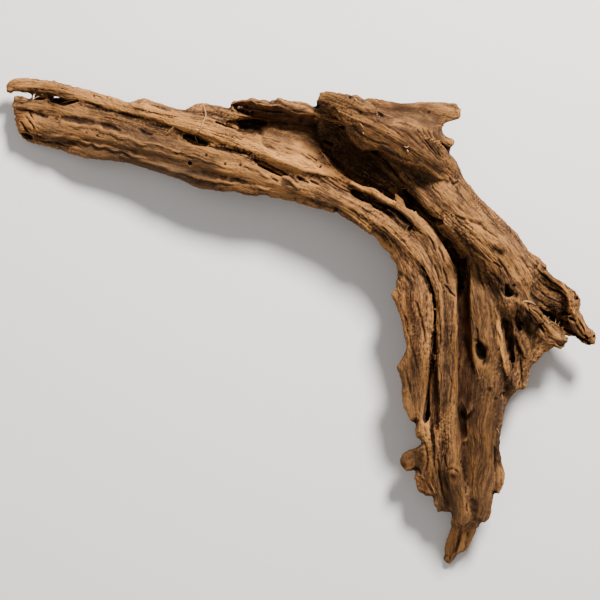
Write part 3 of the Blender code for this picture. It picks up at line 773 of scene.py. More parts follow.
def depth_in_cells(wooden):
    """How far each cell lies inside the wood's own outline, up to a limit. It is below 0 outside."""
    to_air = np.full(wooden.shape, float(REACH))
    to_wood = to_air.copy()
    for dx in range(-REACH, REACH + 1):
        for dy in range(-REACH, REACH + 1):
            gap = np.hypot(dx, dy)
            if gap < REACH:
                moved = shifted(wooden, dx, dy)
                to_air = np.where(moved, to_air, np.minimum(to_air, gap))
                to_wood = np.where(moved, np.minimum(to_wood, gap), to_wood)
    return np.where(wooden, to_air - 0.5, 0.5 - to_wood)


def wooden_cells(squares):
    """Which cells have wood over them, with single gaps closed."""
    column, row = squares[:, :2].astype(int).clip(0, CELLS - 1).T
    wooden = np.zeros((CELLS, CELLS), dtype=bool)
    wooden[row, column] = True
    sides = ((1, 0), (-1, 0), (0, 1), (0, -1))
    grown = wooden | np.logical_or.reduce([shifted(wooden, *side) for side in sides])
    return wooden | ~(~grown | np.logical_or.reduce([shifted(~grown, *side) for side in sides]))


def neighbours_mean(film):
    """The mean of each cell's four neighbours."""
    padded = np.pad(film, ((1, 1), (1, 1), (0, 0)), mode="edge")
    return (padded[:-2, 1:-1] + padded[2:, 1:-1] + padded[1:-1, :-2] + padded[1:-1, 2:]) / 4


def read_film(film, x, y, cell):
    """The film's values at places on the grid, blended from the four cells around each."""
    rows, columns = film.shape
    u = (x / cell - 0.5).clip(0, columns - 1.001)
    v = (y / cell - 0.5).clip(0, rows - 1.001)
    i, j = u.astype(int), v.astype(int)
    s, t = u - i, v - j
    return (film[j, i] * (1 - s) * (1 - t) + film[j, i + 1] * s * (1 - t)
            + film[j + 1, i] * (1 - s) * t + film[j + 1, i + 1] * s * t)


def move_to_outline():
    """Moves the vertices near the edge, and says how far the edge was off before."""
    squares = on_grid(read_vertices(wood.data)[0])
    own = depth_in_cells(wooden_cells(squares))
    row, column = np.nonzero(np.abs(own) < REACH - 1)
    outline = sum(OUTLINE.values(), ())
    off = np.zeros_like(own)
    off[row, column] = depth_inside(outline, column + 0.5, row + 0.5) - own[row, column]
    near_outline = np.abs(off) < REACH
    worst = np.abs(off[near_outline & (np.abs(own) < 1)]).mean()
    off = neighbours_mean(np.where(near_outline, off + MARGIN, 0)[..., None])[..., 0]
    soft = own[..., None].copy()
    for _ in range(SOFTENING):
        soft = neighbours_mean(soft)
    down, right = np.gradient(-soft[..., 0])
    steep = np.hypot(right, down).clip(SHALLOWEST)
    x, y = squares[:, 0].copy(), squares[:, 1].copy()
    share = np.exp(-((read_film(own, x, y, 1) / SIDE_SHARE) ** 2)) * read_film(off, x, y, 1)
    squares[:, 0] += share * read_film(right / steep, x, y, 1)
    squares[:, 1] += share * read_film(down / steep, x, y, 1)
    write_vertices(wood.data, off_grid(squares))
    return worst


FITTINGS = 2
for _ in range(FITTINGS):
    print("the edge was off by", round(float(move_to_outline()), 2), "squares on average")

# %% [markdown]
# ## The way the fibres run
#
# Wood grain isn't a flat pattern: it follows the growth of the root, squeezes through narrow places and
# opens out past them. Each line below is one fibre, with a number for its place across the bundle. Between
# the lines the numbers are relaxed until every square is the average of its neighbours, like a soap film,
# and a second film holds the length along the fibres. Together they are a pair of coordinates that bend
# with the wood, and every groove, streak and pore from here on is drawn in them.

# %% The fibre lines
FIBRE_LINES = {
    "limb_low": (10, 0, (20, 130), (90, 150), (180, 172), (260, 190), (330, 210), (375, 240), (398, 280),
                 (405, 330), (412, 380), (413, 418), (412, 450), (400, 461)),
    "limb_middle": (30, 0, (15, 105), (90, 118), (170, 140), (250, 165), (300, 182), (350, 205),
                    (395, 238), (418, 268), (428, 300), (428, 350), (425, 400), (430, 440), (431, 480),
                    (438, 505), (445, 555)),
    "rail": (55, 0, (5, 84), (60, 91), (130, 107), (200, 128), (260, 148), (310, 165), (345, 182),
             (400, 212), (435, 250), (450, 290), (453, 340), (452, 400), (452, 460), (458, 510), (450, 560)),
    "back_flake": (97, 125, (130, 104), (185, 111), (240, 112), (300, 118), (335, 126), (362, 142),
                   (385, 165), (410, 190), (440, 220), (470, 245), (495, 268), (512, 300), (512, 340),
                   (505, 380), (498, 420), (497, 490)),
    "top_flake": (110, 227, (232, 102), (270, 104), (318, 108)),
    "leg_plane": (80, 465, (452, 240), (472, 280), (482, 330), (482, 400), (480, 460), (476, 520)),
    "crown_ridge": (120, 315, (320, 98), (350, 112), (385, 130), (420, 152), (455, 180), (470, 205),
                    (500, 232), (520, 262), (540, 290), (560, 300)),
    "shoulder": (140, 465, (450, 165), (490, 210), (525, 250), (560, 285), (575, 305), (590, 340)),
    "horn_low": (136, 380, (385, 122), (415, 131), (446, 146)),
    "horn": (152, 340, (345, 100), (400, 108), (460, 110)),
    "low_spur": (108, 600, (520, 285), (535, 310), (565, 342)),
    "flank": (101, 620, (517, 318), (520, 345), (516, 390)),
    "under_limb": (-12, 0, (14, 145), (90, 168), (180, 190), (260, 208), (330, 226), (368, 252),
                   (384, 290), (390, 340), (394, 400), (400, 432)),
    "above_limb": (78, 0, (5, 70), (70, 78), (128, 92), (170, 94)),
    "over_horn": (172, 320, (320, 84), (400, 92), (475, 97)),
    "outer_neck": (165, 480, (470, 165), (515, 206), (560, 252), (592, 290), (608, 336)),
    "outer_leg": (122, 660, (545, 372), (528, 402), (516, 450), (512, 500), (486, 545)),
    "inner_toe": (8, 680, (404, 488), (424, 508), (434, 540), (436, 574)),
}
FILM_CELL = 4
FILM_CELLS = 150
FILM_ROUNDS = 900
LAST_ROUNDS = 3


def fibre_films():
    """Two grids: the place across the bundle of fibres and the length along it, in squares."""
    points, values = [], []
    for across, start, *stations in FIBRE_LINES.values():
        rows = curve_points(stations)
        length = start + np.concatenate([[0], np.cumsum(np.hypot(*np.diff(rows, axis=0).T))])
        points.append(rows)
        values.append(np.stack([np.full(len(rows), across), length], axis=1))
    points, values = np.vstack(points), np.vstack(values)

    centres = (np.arange(FILM_CELLS) + 0.5) * FILM_CELL
    film = np.zeros((FILM_CELLS, FILM_CELLS, 2))
    for row, y in enumerate(centres):
        gaps = (centres[:, None] - points[None, :, 0]) ** 2 + (y - points[None, :, 1]) ** 2
        film[row] = values[gaps.argmin(axis=1)]
    held = np.zeros((FILM_CELLS, FILM_CELLS), dtype=bool)
    column, row = (points / FILM_CELL).astype(int).clip(0, FILM_CELLS - 1).T
    held[row, column] = True
    film[row, column] = values
    kept = film.copy()
    for _ in range(FILM_ROUNDS):
        film = neighbours_mean(film)
        film[held] = kept[held]
    for _ in range(LAST_ROUNDS):
        film = neighbours_mean(film)
    return film[..., 0], film[..., 1]


across_film, along_film = fibre_films()
print("fibres run", round(float(along_film.max())), "squares along and",
      round(float(across_film.max())), "across")

# %% Smooth random values
GRADIENTS = 1024
HASH = (73856093, 19349663, 83492791)
NOISE_GAIN = 1.6


def noise(points, seed):
    """Random values from about -1 to 1 that change smoothly over one unit, one for each row of points."""
    random = np.random.default_rng(seed)
    gradients = random.normal(size=(GRADIENTS, 3)).astype(np.float32)
    gradients /= np.linalg.norm(gradients, axis=1)[:, None]
    points = points.astype(np.float32)
    cell = np.floor(points)
    within = points - cell
    cell = cell.astype(np.int64)
    fade = within**3 * (within * (within * 6 - 15) + 10)
    total = np.zeros(len(points), dtype=np.float32)
    for corner in np.ndindex(2, 2, 2):
        a, b, c = ((cell[:, k] + corner[k]) * HASH[k] for k in range(3))
        picked = gradients[(a ^ b ^ c) % GRADIENTS]
        weight = np.ones(len(points), dtype=np.float32)
        dot = np.zeros(len(points), dtype=np.float32)
        for k in range(3):
            weight *= fade[:, k] if corner[k] else 1 - fade[:, k]
            dot += picked[:, k] * (within[:, k] - corner[k])
        total += weight * dot
    return total * NOISE_GAIN


spread = noise(np.random.default_rng(1).uniform(0, 40, size=(20000, 3)), 2)
print("noise runs from", round(float(spread.min()), 2), "to", round(float(spread.max()), 2))

# %% [markdown]
# ## The skin as numbers
#
# From here on the wood is carved by moving its vertices, as a sculptor's brushes do. The vertices are read
# into arrays once, with their normals and their places on the grid, and the moves are worked out for all of
# them together.

# %% Read the vertices
MAP_CELL = 2.0
MAP_CELLS = 300
BELOW_TOP = (-9, -4)
FACING_EYE = (-0.15, 0.15)
LEVEL_ROUNDS = 60
REST_BAND = (0.0004, 0.004)


def top_map(squares):
    """The greatest height in each cell of the grid."""
    column, row = (squares[:, :2] / MAP_CELL).astype(int).clip(0, MAP_CELLS - 1).T
    heights = np.zeros((MAP_CELLS, MAP_CELLS))
    np.maximum.at(heights, (row, column), squares[:, 2])
    return heights


def blurred(field, mask, rounds):
    """The field's average over a growing neighbourhood, counting only what the mask covers."""
    total, weight = field * mask, mask.astype(float)
    for _ in range(rounds):
        total = neighbours_mean(total[..., None])[..., 0]
        weight = neighbours_mean(weight[..., None])[..., 0]
    return total / weight.clip(1e-6)


points, normals = read_vertices(wood.data)
squares = on_grid(points)
tops = top_map(squares)
column, row = (squares[:, :2] / MAP_CELL).astype(int).clip(0, MAP_CELLS - 1).T
seen = smooth_step(squares[:, 2], tops[row, column] + BELOW_TOP[0], tops[row, column] + BELOW_TOP[1])
seen *= smooth_step(normals[:, 2], *FACING_EYE)
level = read_film(blurred(tops, tops > 0, LEVEL_ROUNDS), squares[:, 0], squares[:, 1], MAP_CELL)
free = smooth_step(points[:, 2], *REST_BAND)
print("vertices:", len(points), "seen from above:", int((seen > 0.5).sum()))

# %% [markdown]
# ## Grooves, cracks and ledges
#
# These are the lines that a carver would draw first, because the eye knows the root by them. Each is a path
# with a width at every station and one depth. A groove is a soft valley, a crack is narrow with steep
# sides, a ledge drops on one side only, and a ridge is a groove turned up. The paths wander a little off
# their stations, since no split in dry wood is smooth.

# %% Strokes
# Stations are x, y and half width, in squares. The first number is the depth, and below 0 it is a height. A
# pit is x, y, its width and its depth.
GROOVES = {
    "limb": (
        (1.6, (15, 109, 1.2), (25, 111, 1.6), (36, 113, 1.8), (48, 118, 1.2)),
        (1.2, (60, 117, 1.6), (75, 119, 2.6), (95, 122, 1.8)),
        (1.8, (100, 123, 1.2), (109, 126, 2), (121, 131, 1.2)),
        (1.6, (137, 129, 1.2), (144, 132, 1.8), (153, 135, 1.2)),
        (1.2, (40, 141, 1.2), (54, 143, 1.6), (70, 147, 1.2)),
        (0.9, (62, 137, 1), (80, 140, 1.6), (102, 145, 1)),
        (1.0, (140, 142, 1.2), (155, 146, 2), (184, 155, 1.4)),
        (0.9, (168, 151, 1.2), (200, 161, 2), (236, 173, 1.4)),
        (1.2, (178, 171, 1.4), (215, 176, 3), (250, 185, 2.6), (268, 195, 1.2)),
        (1.6, (208, 145, 1.2), (225, 150, 1.8), (240, 153, 1.6), (251, 156, 1)),
        (1.0, (196, 133, 1), (215, 141, 1.6), (226, 147, 1)),
        (1.4, (270, 176, 1.4), (279, 182, 1.4)),
        (0.7, (100, 99, 1), (130, 108, 1.4), (165, 116, 1.2), (195, 125, 1)),
        (1.0, (20, 90, 1.6), (45, 91, 2.6), (75, 97, 1.8)),
        (1.4, (148, 102, 1.2), (160, 107, 1.6), (172, 111, 1)),
        (1.6, (296, 177, 1), (302, 180, 1.4), (309, 183, 1)),
        (1.2, (300, 198, 1.6), (325, 205, 2.4), (350, 219, 2), (368, 233, 1.2)),
        (0.8, (330, 192, 1), (352, 203, 1.6), (376, 217, 1.8), (398, 236, 1.4), (412, 254, 1)),
    ),
    "end_facet": (
        (2.2, (19, 121, 1), (24, 127, 1.4), (30, 134, 1.2)),
        (1.6, (24, 115, 0.9), (30, 123, 1.2), (35, 130, 1)),
        (1.4, (28, 112, 0.9), (34, 119, 1.2)),
    ),
    "trough": (
        (1.0, (308, 153, 0.8), (318, 161, 0.9)),
        (1.6, (310, 180, 1), (319, 185, 1.2)),
        (1.0, (262, 137, 0.8), (281, 142, 0.9)),
        (0.6, (280, 128, 1.4), (300, 134, 1.8), (318, 146, 1.4)),
        (0.6, (282, 146, 1.2), (304, 155, 1.6), (322, 168, 1.2)),
    ),
    "crown": (
        (1.4, (346, 107, 1.2), (365, 113, 2), (378, 117, 1.6)),
        (1.0, (356, 112, 1.4), (372, 119, 2), (392, 128, 1.8), (404, 138, 1.2)),
        (3.0, (418, 128, 0.9), (424, 135, 1.2), (431, 145, 1.2), (438, 155, 0.8)),
        (3.4, (422, 127, 0.9), (429, 136, 1.4), (437, 147, 1.4), (444, 159, 0.9)),
        (3.2, (428, 129, 0.9), (435, 139, 1.4), (442, 150, 1.2), (447, 158, 0.8)),
        (2.6, (433, 131, 0.7), (439, 140, 1.1), (445, 150, 0.9)),
        (1.4, (414, 131, 0.8), (422, 139, 1.1), (431, 150, 1.1), (440, 161, 0.8)),
        (1.0, (364, 108, 1.2), (374, 113, 1.8), (386, 117.5, 1.7), (398, 117.5, 1.1)),
        (1.0, (392, 125, 1), (408, 134, 1.5), (424, 148, 1.2)),
        (0.9, (352, 124, 1.4), (362, 136, 2), (374, 142, 1.6), (390, 146, 1.2)),
        (1.2, (384, 158, 1.2), (392, 168, 1.6), (402, 181, 1.2)),
        (2.4, (449, 177, 1), (454, 183, 1.3), (459, 181, 1)),
    ),
    "neck": (
        (1.8, (454, 216, 1.2), (465, 219, 2), (475, 222, 2.2), (485, 227, 2), (498, 238, 1.2)),
        (1.4, (489, 273, 1), (495, 276, 1.5), (501, 286, 1)),
        (1.4, (500, 288, 1.2), (506, 298, 1.2)),
        (1.2, (493, 262, 1), (502, 268, 1.2)),
        (1.2, (520, 254, 1), (526, 261, 1.5), (531, 269, 1)),
        (0.9, (456, 190, 1), (470, 204, 1.6), (487, 222, 1.2)),
        (0.9, (452, 200, 1), (462, 210, 1.6), (474, 218, 1)),
        (0.9, (470, 232, 1), (486, 246, 1.8), (500, 262, 1.6), (512, 280, 1)),
        (0.8, (505, 238, 1), (518, 254, 1.6), (532, 272, 1.2)),
        (0.9, (458, 236, 1), (470, 254, 1.7), (480, 276, 1.4), (486, 298, 1)),
    ),
    "leg": (
        (1.2, (398, 271, 1.4), (408, 281, 2.4), (413, 292, 1.8)),
        (1.8, (415, 300, 1.1), (419, 312, 1.3), (423, 326, 1.5), (427, 344, 1.2)),
        (1.0, (404, 316, 1.2), (409, 328, 1.2)),
        (1.3, (380, 209, 2.2), (391, 214, 3.2), (402, 221, 3), (411, 230, 2)),
        (-2.2, (426, 284, 2.4), (429, 300, 3.4), (430.5, 320, 3.8), (430, 340, 3.4), (429, 358, 2)),
        (2.6, (433.4, 292, 0.9), (434.6, 305, 0.9), (434.9, 320, 0.9), (434.8, 336, 0.9), (434.4, 352, 0.9)),
        (1.5, (437, 290, 1.8), (438.5, 312, 2.2), (438.5, 335, 2.2), (437.5, 355, 1.6)),
        (0.9, (399, 300, 1), (406, 325, 1.6), (412, 350, 1.6), (420, 378, 1.2)),
        (1.5, (444, 284, 0.9), (450, 291, 1.2), (456, 297, 0.8)),
        (1.4, (428, 236, 0.7), (433, 244, 1.0), (436, 251, 0.7)),
        (1.5, (438, 246, 0.7), (442, 254, 1.0), (445, 262, 0.7)),
        (1.6, (443, 268, 0.7), (446, 276, 1.1), (448, 284, 0.7)),
        (1.2, (434, 264, 0.7), (437, 272, 0.9), (440, 282, 0.7)),
        (1.4, (450, 266, 0.6), (453, 273, 1.0), (455, 280, 0.6)),
        (1.1, (425, 250, 0.7), (430, 259, 0.9), (433, 268, 0.7)),
        (0.7, (444, 302, 1.6), (447, 330, 3.0), (445, 360, 3.2), (445, 395, 3.0), (442, 428, 1.6)),
        (1.1, (441, 316, 0.8), (439.5, 332, 1.1), (441, 350, 0.8)),
        (1.0, (440, 366, 0.8), (441, 380, 1.1), (439.5, 396, 0.8)),
        (0.9, (451, 306, 0.8), (452, 326, 1.2), (450.5, 344, 0.8)),
        (0.8, (448, 366, 0.8), (451, 384, 1.1), (449, 404, 0.8)),
        (2.2, (432, 422, 1.2), (433, 440, 1.9), (434, 470, 1.2)),
        (1.4, (443, 455, 0.9), (446, 468, 1.2)),
        (1.4, (461, 460, 0.9), (462, 468, 1.1)),
        (1.4, (466, 486, 0.9), (466.5, 494, 1.2)),
        (1.4, (467, 503, 0.9), (467.5, 512, 1.2)),
        (1.6, (471, 498, 2), (475, 508, 3.4), (474, 521, 2.2)),
        (2.4, (495, 446, 1.2), (496.5, 460, 1.6), (496, 473, 1.2)),
        (2.6, (476.5, 327, 0.7), (477, 335, 1.0), (476.5, 343, 1.4)),
        (1.0, (420, 479, 1.6), (427, 486, 2.2), (432, 495, 1.2)),
        (1.0, (446, 472, 1.2), (452, 469, 1.4), (459, 473, 1.2), (461, 481, 1.0)),
        (0.8, (488, 300, 1), (492, 320, 1.6), (494, 338, 1.2)),
        (1.6, (510, 352, 1), (512, 370, 1.8), (511, 387, 1)),
        (1.6, (518, 358, 1), (522, 374, 1.6), (522, 390, 1)),
        (0.8, (404, 365, 1), (409, 385, 1.5), (414, 408, 1)),
        (1.2, (438, 458, 1), (440, 480, 1.6), (444, 500, 1)),
        (0.6, (452, 512, 1), (454, 530, 1.8), (452, 548, 1)),
        (1.4, (424, 442, 1), (427, 458, 1.6), (426, 472, 1)),
    ),
    "spur": (
        (1.4, (536, 268, 0.8), (546, 279, 1.1), (560, 288, 1.1), (567, 294, 0.8)),
        (1.4, (537, 277, 0.8), (547, 287, 1.2), (559, 293, 1.2), (567, 299, 0.8)),
        (1.2, (535, 286, 0.8), (546, 296, 1.1), (557, 302, 1.1), (567, 307, 0.8)),
        (1.2, (532, 294, 0.8), (542, 303, 1.1), (553, 309, 1)),
        (1.4, (541, 264, 0.7), (550, 273, 0.9), (559, 280, 0.7)),
        (1.4, (524, 255, 0.7), (528, 262, 1.2), (531, 268, 0.8)),
        (1.6, (539, 326, 0.8), (543, 331, 1.3), (546, 336, 0.8)),
        (1.6, (550, 322, 0.8), (554, 327, 1.2), (558, 331, 0.8)),
        (1.2, (556, 343, 0.8), (560, 346, 1.4), (564, 345, 0.8)),
        (1.6, (524, 308, 0.8), (533, 318, 1.3), (543, 330, 0.8)),
        (1.6, (530, 306, 0.8), (540, 315, 1.2), (549, 324, 0.8)),
        (1.2, (538, 322, 0.8), (545, 328, 1.1), (552, 337, 0.8)),
        (1.4, (578, 318, 0.7), (582, 325, 1.1), (585, 333, 0.7)),
        (1.2, (575, 322, 0.7), (579, 330, 1.1), (586, 339, 0.7)),
    ),
}
LEDGES = (
    (2.6, (84, 101, 2.4), (110, 109, 3.8), (140, 117, 4.4), (165, 124, 4.4), (188, 134, 3.4), (204, 141, 2)),
    (4.0, (333, 106, 2.5), (338, 113, 3), (343, 121, 3), (345, 130, 2)),
)
PITS = (
    (97, 136, 1.2, 1.4), (86, 133, 1.1, 1.2), (94, 96, 1.2, 1.4), (230, 151, 1.2, 1.4),
    (225, 164, 1.3, 1.6), (240, 165, 1.3, 1.6), (300, 179, 1.5, 1.8), (350, 97, 1.3, 1.2),
    (360, 112, 2, 1.5), (429, 112, 1.2, 0.8), (321, 166, 1.2, 1.6), (452, 216, 1.4, 2.2),
    (500.5, 253, 4.8, 3.6), (495, 249, 3.4, 1.8), (506.5, 286.5, 2, 3), (515.5, 295.5, 2.4, 2.6),
    (507.5, 295, 1.8, 2.4), (514, 286, 1.6, 1.2), (503, 395, 1.8, 2), (490, 390, 2, 1.8),
    (496, 399, 1.6, 1.8), (452, 478, 3.2, 2.6), (206, 155, 1.2, 1.4), (334, 122, 1.5, 1.8),
    (478, 346, 3.6, 6), (479.5, 354, 4.6, 8), (486, 359, 6.5, 4.4), (484, 350, 4, 2.4), (475, 341, 2, 2.5),
    (484, 362, 3, 2.4), (504, 395, 2.2, 3),
)


def gap_to(path, x, y):
    """For each place: its gap to the path, its side, the half width there and how far along it is."""
    starts, spans = path[:-1, :2], np.diff(path[:, :2], axis=0)
    lengths = (spans**2).sum(axis=1)
    dx, dy = x[:, None] - starts[:, 0], y[:, None] - starts[:, 1]
    t = ((dx * spans[:, 0] + dy * spans[:, 1]) / lengths).clip(0, 1)
    off_x, off_y = dx - t * spans[:, 0], dy - t * spans[:, 1]
    gaps = off_x**2 + off_y**2
    best = gaps.argmin(axis=1)
    pick = np.arange(len(x)), best
    side = np.sign(off_x[pick] * -spans[best, 1] + off_y[pick] * spans[best, 0])
    width = path[best, 2] + (path[best + 1, 2] - path[best, 2]) * t[pick]
    along = (best + t[pick]) / len(spans)
    return np.sqrt(gaps[pick]), side, width, along


WANDER = 1.1
RAGGED = 0.45
DARK_FROM = 2.4
GROOVE_MARGIN = 8
LEDGE_MARGIN = 12
LEDGE_STEP = 0.4
LEDGE_FADE = 2.6
PIT_DARK = 0.8
x, y = squares[:, 0], squares[:, 1]
wander = WANDER * noise(squares / 9, 11)
rough = 1 + RAGGED * noise(squares / (5, 5, 9), 12)
carved = np.zeros(len(points))
# How much painted shade each groove and pit lays on the vertices, deeper ones more (DARK_FROM, PIT_DARK); the
# grain is also calmed there.
shaded_grooves = np.zeros(len(points))


def stroke(stations, margin):
    """The vertices near a stroke, how far beside it each is in half widths, and how full the stroke is."""
    path = curve_points(stations)
    low, high = path[:, :2].min(axis=0) - margin, path[:, :2].max(axis=0) + margin
    chosen = np.flatnonzero((x > low[0]) & (x < high[0]) & (y > low[1]) & (y < high[1]) & (seen > 0.01))
    gap, side, width, along = gap_to(path, x[chosen], y[chosen])
    return chosen, (gap * side + wander[chosen]) / width, np.sqrt((4 * along * (1 - along)).clip(0, 1))


for strokes in GROOVES.values():
    for depth, *stations in strokes:
        chosen, beside, ends = stroke(stations, GROOVE_MARGIN)
        valley = np.exp(-(beside**2)) * ends * rough[chosen] * seen[chosen]
        carved[chosen] -= depth * valley
        shaded_grooves[chosen] = np.maximum(shaded_grooves[chosen], valley * min(1, depth / DARK_FROM))
for depth, *stations in LEDGES:
    chosen, beside, ends = stroke(stations, LEDGE_MARGIN)
    drop = smooth_step(beside, -LEDGE_STEP, LEDGE_STEP)
    carved[chosen] -= depth * drop * np.exp(-((beside / LEDGE_FADE) ** 2)) * ends * seen[chosen]
for pit_x, pit_y, width, depth in PITS:
    gap = np.hypot(x - pit_x, y - pit_y) + wander * 0.5
    valley = np.exp(-((gap / width) ** 2)) * seen
    carved -= depth * valley
    shaded_grooves = np.maximum(shaded_grooves, valley * PIT_DARK)
print("strokes move the skin by up to", round(float(-carved.min() * GRID * 1000), 2), "mm")

# %% [markdown]
# ## Grain
#
# Between the drawn lines the wood is covered in grain of every size: ropes as thick as a finger, cords,
# threads, and splits where two of them have parted. Noise stretched along the fibre coordinates gives all
# of them. A low, wandering noise bends the coordinates first, and knots push them aside, so no two threads
# run quite parallel. Where hands, sand or water have rubbed the wood smooth, the grain is taken back again.

# %% Coordinates that run with the fibres
KNOTS = (
    (363, 100, 9), (452, 478, 11), (511, 291, 12), (500, 251, 9), (479, 350, 10), (190, 137, 8),
    (88, 134, 6), (287, 178, 7), (421, 115, 8),
)
KNOT_PUSH = 0.75
WAVER = 3.0
SHIVER = 0.8

across = read_film(across_film, x, y, FILM_CELL)
along = read_film(along_film, x, y, FILM_CELL)
for knot_x, knot_y, reach in KNOTS:
    near_knot = np.exp(-((x - knot_x) ** 2 + (y - knot_y) ** 2) / reach**2) * seen
    middle = read_film(across_film, np.array([float(knot_x)]), np.array([float(knot_y)]), FILM_CELL)[0]
    across -= KNOT_PUSH * near_knot * (across - middle)
across += WAVER * noise(squares / 34, 21) + SHIVER * noise(squares / 11, 22)
lift = squares[:, 2] - level
grain = np.stack([across, along, lift], axis=1)
print("grain lies between", grain.min(axis=0).round(), "and", grain.max(axis=0).round())

# %% Ropes, cords, threads and splits
LEAN = 0.35
OPENING = 0.35
STRAND_STEP = 1.37


def fibres(width, length, seed):
    """Noise whose lumps are this wide across the fibres and this long along them."""
    across, along, lift = grain.T
    return noise(np.stack([across / width, along / length, lift / (width * 1.3)], axis=1), seed)


def lanes(width, length, seed):
    """A number for the place across the strands, whole at their edges. The strands lean and bend a little."""
    across, _, lift = grain.T
    return (across + LEAN * lift) / width + 0.5 * fibres(width * 3, length * 1.5, seed + 100)


def lane_values(number, length, seed):
    """Random values that change along the strands, apart for each strand."""
    along = grain[:, 1]
    places = [STRAND_STEP * number + 0.5, along / length, np.full(len(along), 0.37)]
    return noise(np.stack(places, axis=1), seed)


def strings(width, length, seed):
    """Rounded strands side by side, each with a swelling and thinning of its own."""
    lane = lanes(width, length, seed)
    number = np.floor(lane)
    edge = np.abs(2 * (lane - number) - 1)
    return (1 - edge**2) * (0.6 + 0.5 * lane_values(number, length, seed)) - 0.4


def splits(width, length, thickness, rare, seed):
    """Thin splits between strands: 1 in a split and 0 beside it. They taper where they end."""
    lane = lanes(width, length, seed)
    number = np.round(lane)
    opening = smooth_step(lane_values(number, length, seed), rare, rare + OPENING)
    gap = np.abs(lane - number) * width
    return opening * np.exp(-((gap / (thickness * opening.clip(0.1))) ** 2))

# %% Smooth places
# Each is x, y (twice for a long place), its reach and how much of the grain is taken away.
CALM_SPOTS = (
    (60, 126, 230, 166, 18, 0.6), (90, 150, 290, 190, 12, 0.75), (478, 420, 478, 520, 18, 0.65),
    (450, 500, 465, 545, 14, 0.65), (462, 430, 462, 500, 8, 0.4), (410, 370, 412, 420, 12, 0.5),
    (385, 138, 430, 165, 10, 0.4), (130, 106, 250, 142, 9, 0.35), (20, 86, 80, 92, 6, 0.3),
    (398, 320, 424, 400, 10, 0.35), (425, 109, 26, 0.75), (395, 107, 20, 0.7), (372, 105, 12, 0.5),
    (300, 152, 24, 0.85), (272, 142, 18, 0.7), (463, 290, 464, 395, 7, 0.8), (480, 350, 12, 0.6),
    (447, 305, 447, 400, 8, 0.35), (492, 305, 500, 400, 13, 0.4), (401, 300, 408, 345, 8, 0.5),
    (407, 460, 14, 0.97), (365, 140, 14, 0.5), (270, 112, 22, 0.6), (300, 121, 16, 0.6), (410, 330, 12, 0.3),
)
SPOT_FILL = 1.5


def spots_over(spots):
    """The strongest of the spots at each vertex. Each spot fades out over its reach."""
    strongest = np.zeros(len(squares))
    for *ends, reach, strength in spots:
        start, span = np.array(ends[:2]), np.subtract(ends[-2:], ends[:2])
        t = ((squares[:, :2] - start) @ span / max(span @ span, 1)).clip(0, 1)
        gap = ((squares[:, :2] - start - t[:, None] * span) ** 2).sum(axis=1) / reach**2
        strongest = np.maximum(strongest, strength * np.minimum(1, SPOT_FILL * np.exp(-gap)))
    return strongest


calm_spots = spots_over(CALM_SPOTS)
print("smooth places cover", int((calm_spots > 0.3).sum()), "vertices")

# %% Grow the grain
GROOVE_CALM = 0.6
WEAR = 0.3
ROOM_INSIDE = 5e-5

patchy = smooth_step(noise(squares / 40, 31), -0.25, 0.35)
ropes = fibres(15, 150, 32)
cords = fibres(7, 50, 33)
twine = strings(6, 60, 42)
threads = fibres(2.8, 18, 34)
fine = fibres(1.6, 7, 35)
cracks = splits(9, 40, 0.8, 0.42, 36)
checks = splits(4.5, 16, 0.6, 0.45, 38)
dents = smooth_step(fibres(2.6, 7, 43), 0.42, 0.75)
crumbs = noise(squares / 3.2, 40) + 0.7 * noise(squares / 1.8, 41)

grown = 1.3 * ropes + 0.65 * cords + 0.32 * twine + 0.26 * threads + 0.28 * fine
split = 0.7 * cracks + 0.4 * checks + 0.4 * dents
crumbled = crumbs * (0.12 + 0.36 * patchy)
calm = (1 - GROOVE_CALM * np.clip(shaded_grooves, 0, 1)) * (1 - calm_spots)
move = (carved + calm * (grown - split + crumbled) - WEAR) * free
moved = points + normals * (move * GRID)[:, None]
inset = np.outer((1, -1), (ROOM_INSIDE, ROOM_INSIDE, 0))
moved = moved.clip(*(np.array(CAD_BOX) + inset))
print("grain moves the skin by", round(float(move.min() * GRID * 1000), 2), "to",
      round(float(move.max() * GRID * 1000), 2), "mm")

# %% [markdown]
# ## Where the painted shade lies
#
# Dips are given painted shade and edges are left lighter, as if the hollows lost light and the edges caught
# it. Each vertex is compared with the average of its neighbours, then of their neighbours, and so on: what
# lies below that average is a dip, and what lies above it is an edge. Two sizes of neighbourhood catch the
# threads and the ropes.

# %% Dips and edges
NEAR_ROUNDS = 4
FAR_ROUNDS = 40


def relaxed(places, edges, rounds):
    """The places after each has moved to the middle of its neighbours so many times."""
    count = len(places)
    a, b = edges.T
    share = 1 / np.bincount(edges.ravel(), minlength=count).clip(1)
    for _ in range(rounds):
        sums = [np.bincount(a, places[b, k], count) + np.bincount(b, places[a, k], count) for k in range(3)]
        places = np.stack([share * total for total in sums], axis=1)
    return places


write_vertices(wood.data, moved)
edges = read(wood.data.edges, "vertices", 2, np.int32)
points, normals = read_vertices(wood.data)
near_mean = relaxed(points, edges, NEAR_ROUNDS)
far_mean = relaxed(near_mean, edges, FAR_ROUNDS)
fine_dip = ((near_mean - points) * normals).sum(axis=1) / GRID
broad_dip = ((far_mean - points) * normals).sum(axis=1) / GRID
print("dips go down to", round(float(broad_dip.max()), 2), "squares and edges up to",
      round(float(-broad_dip.min()), 2))
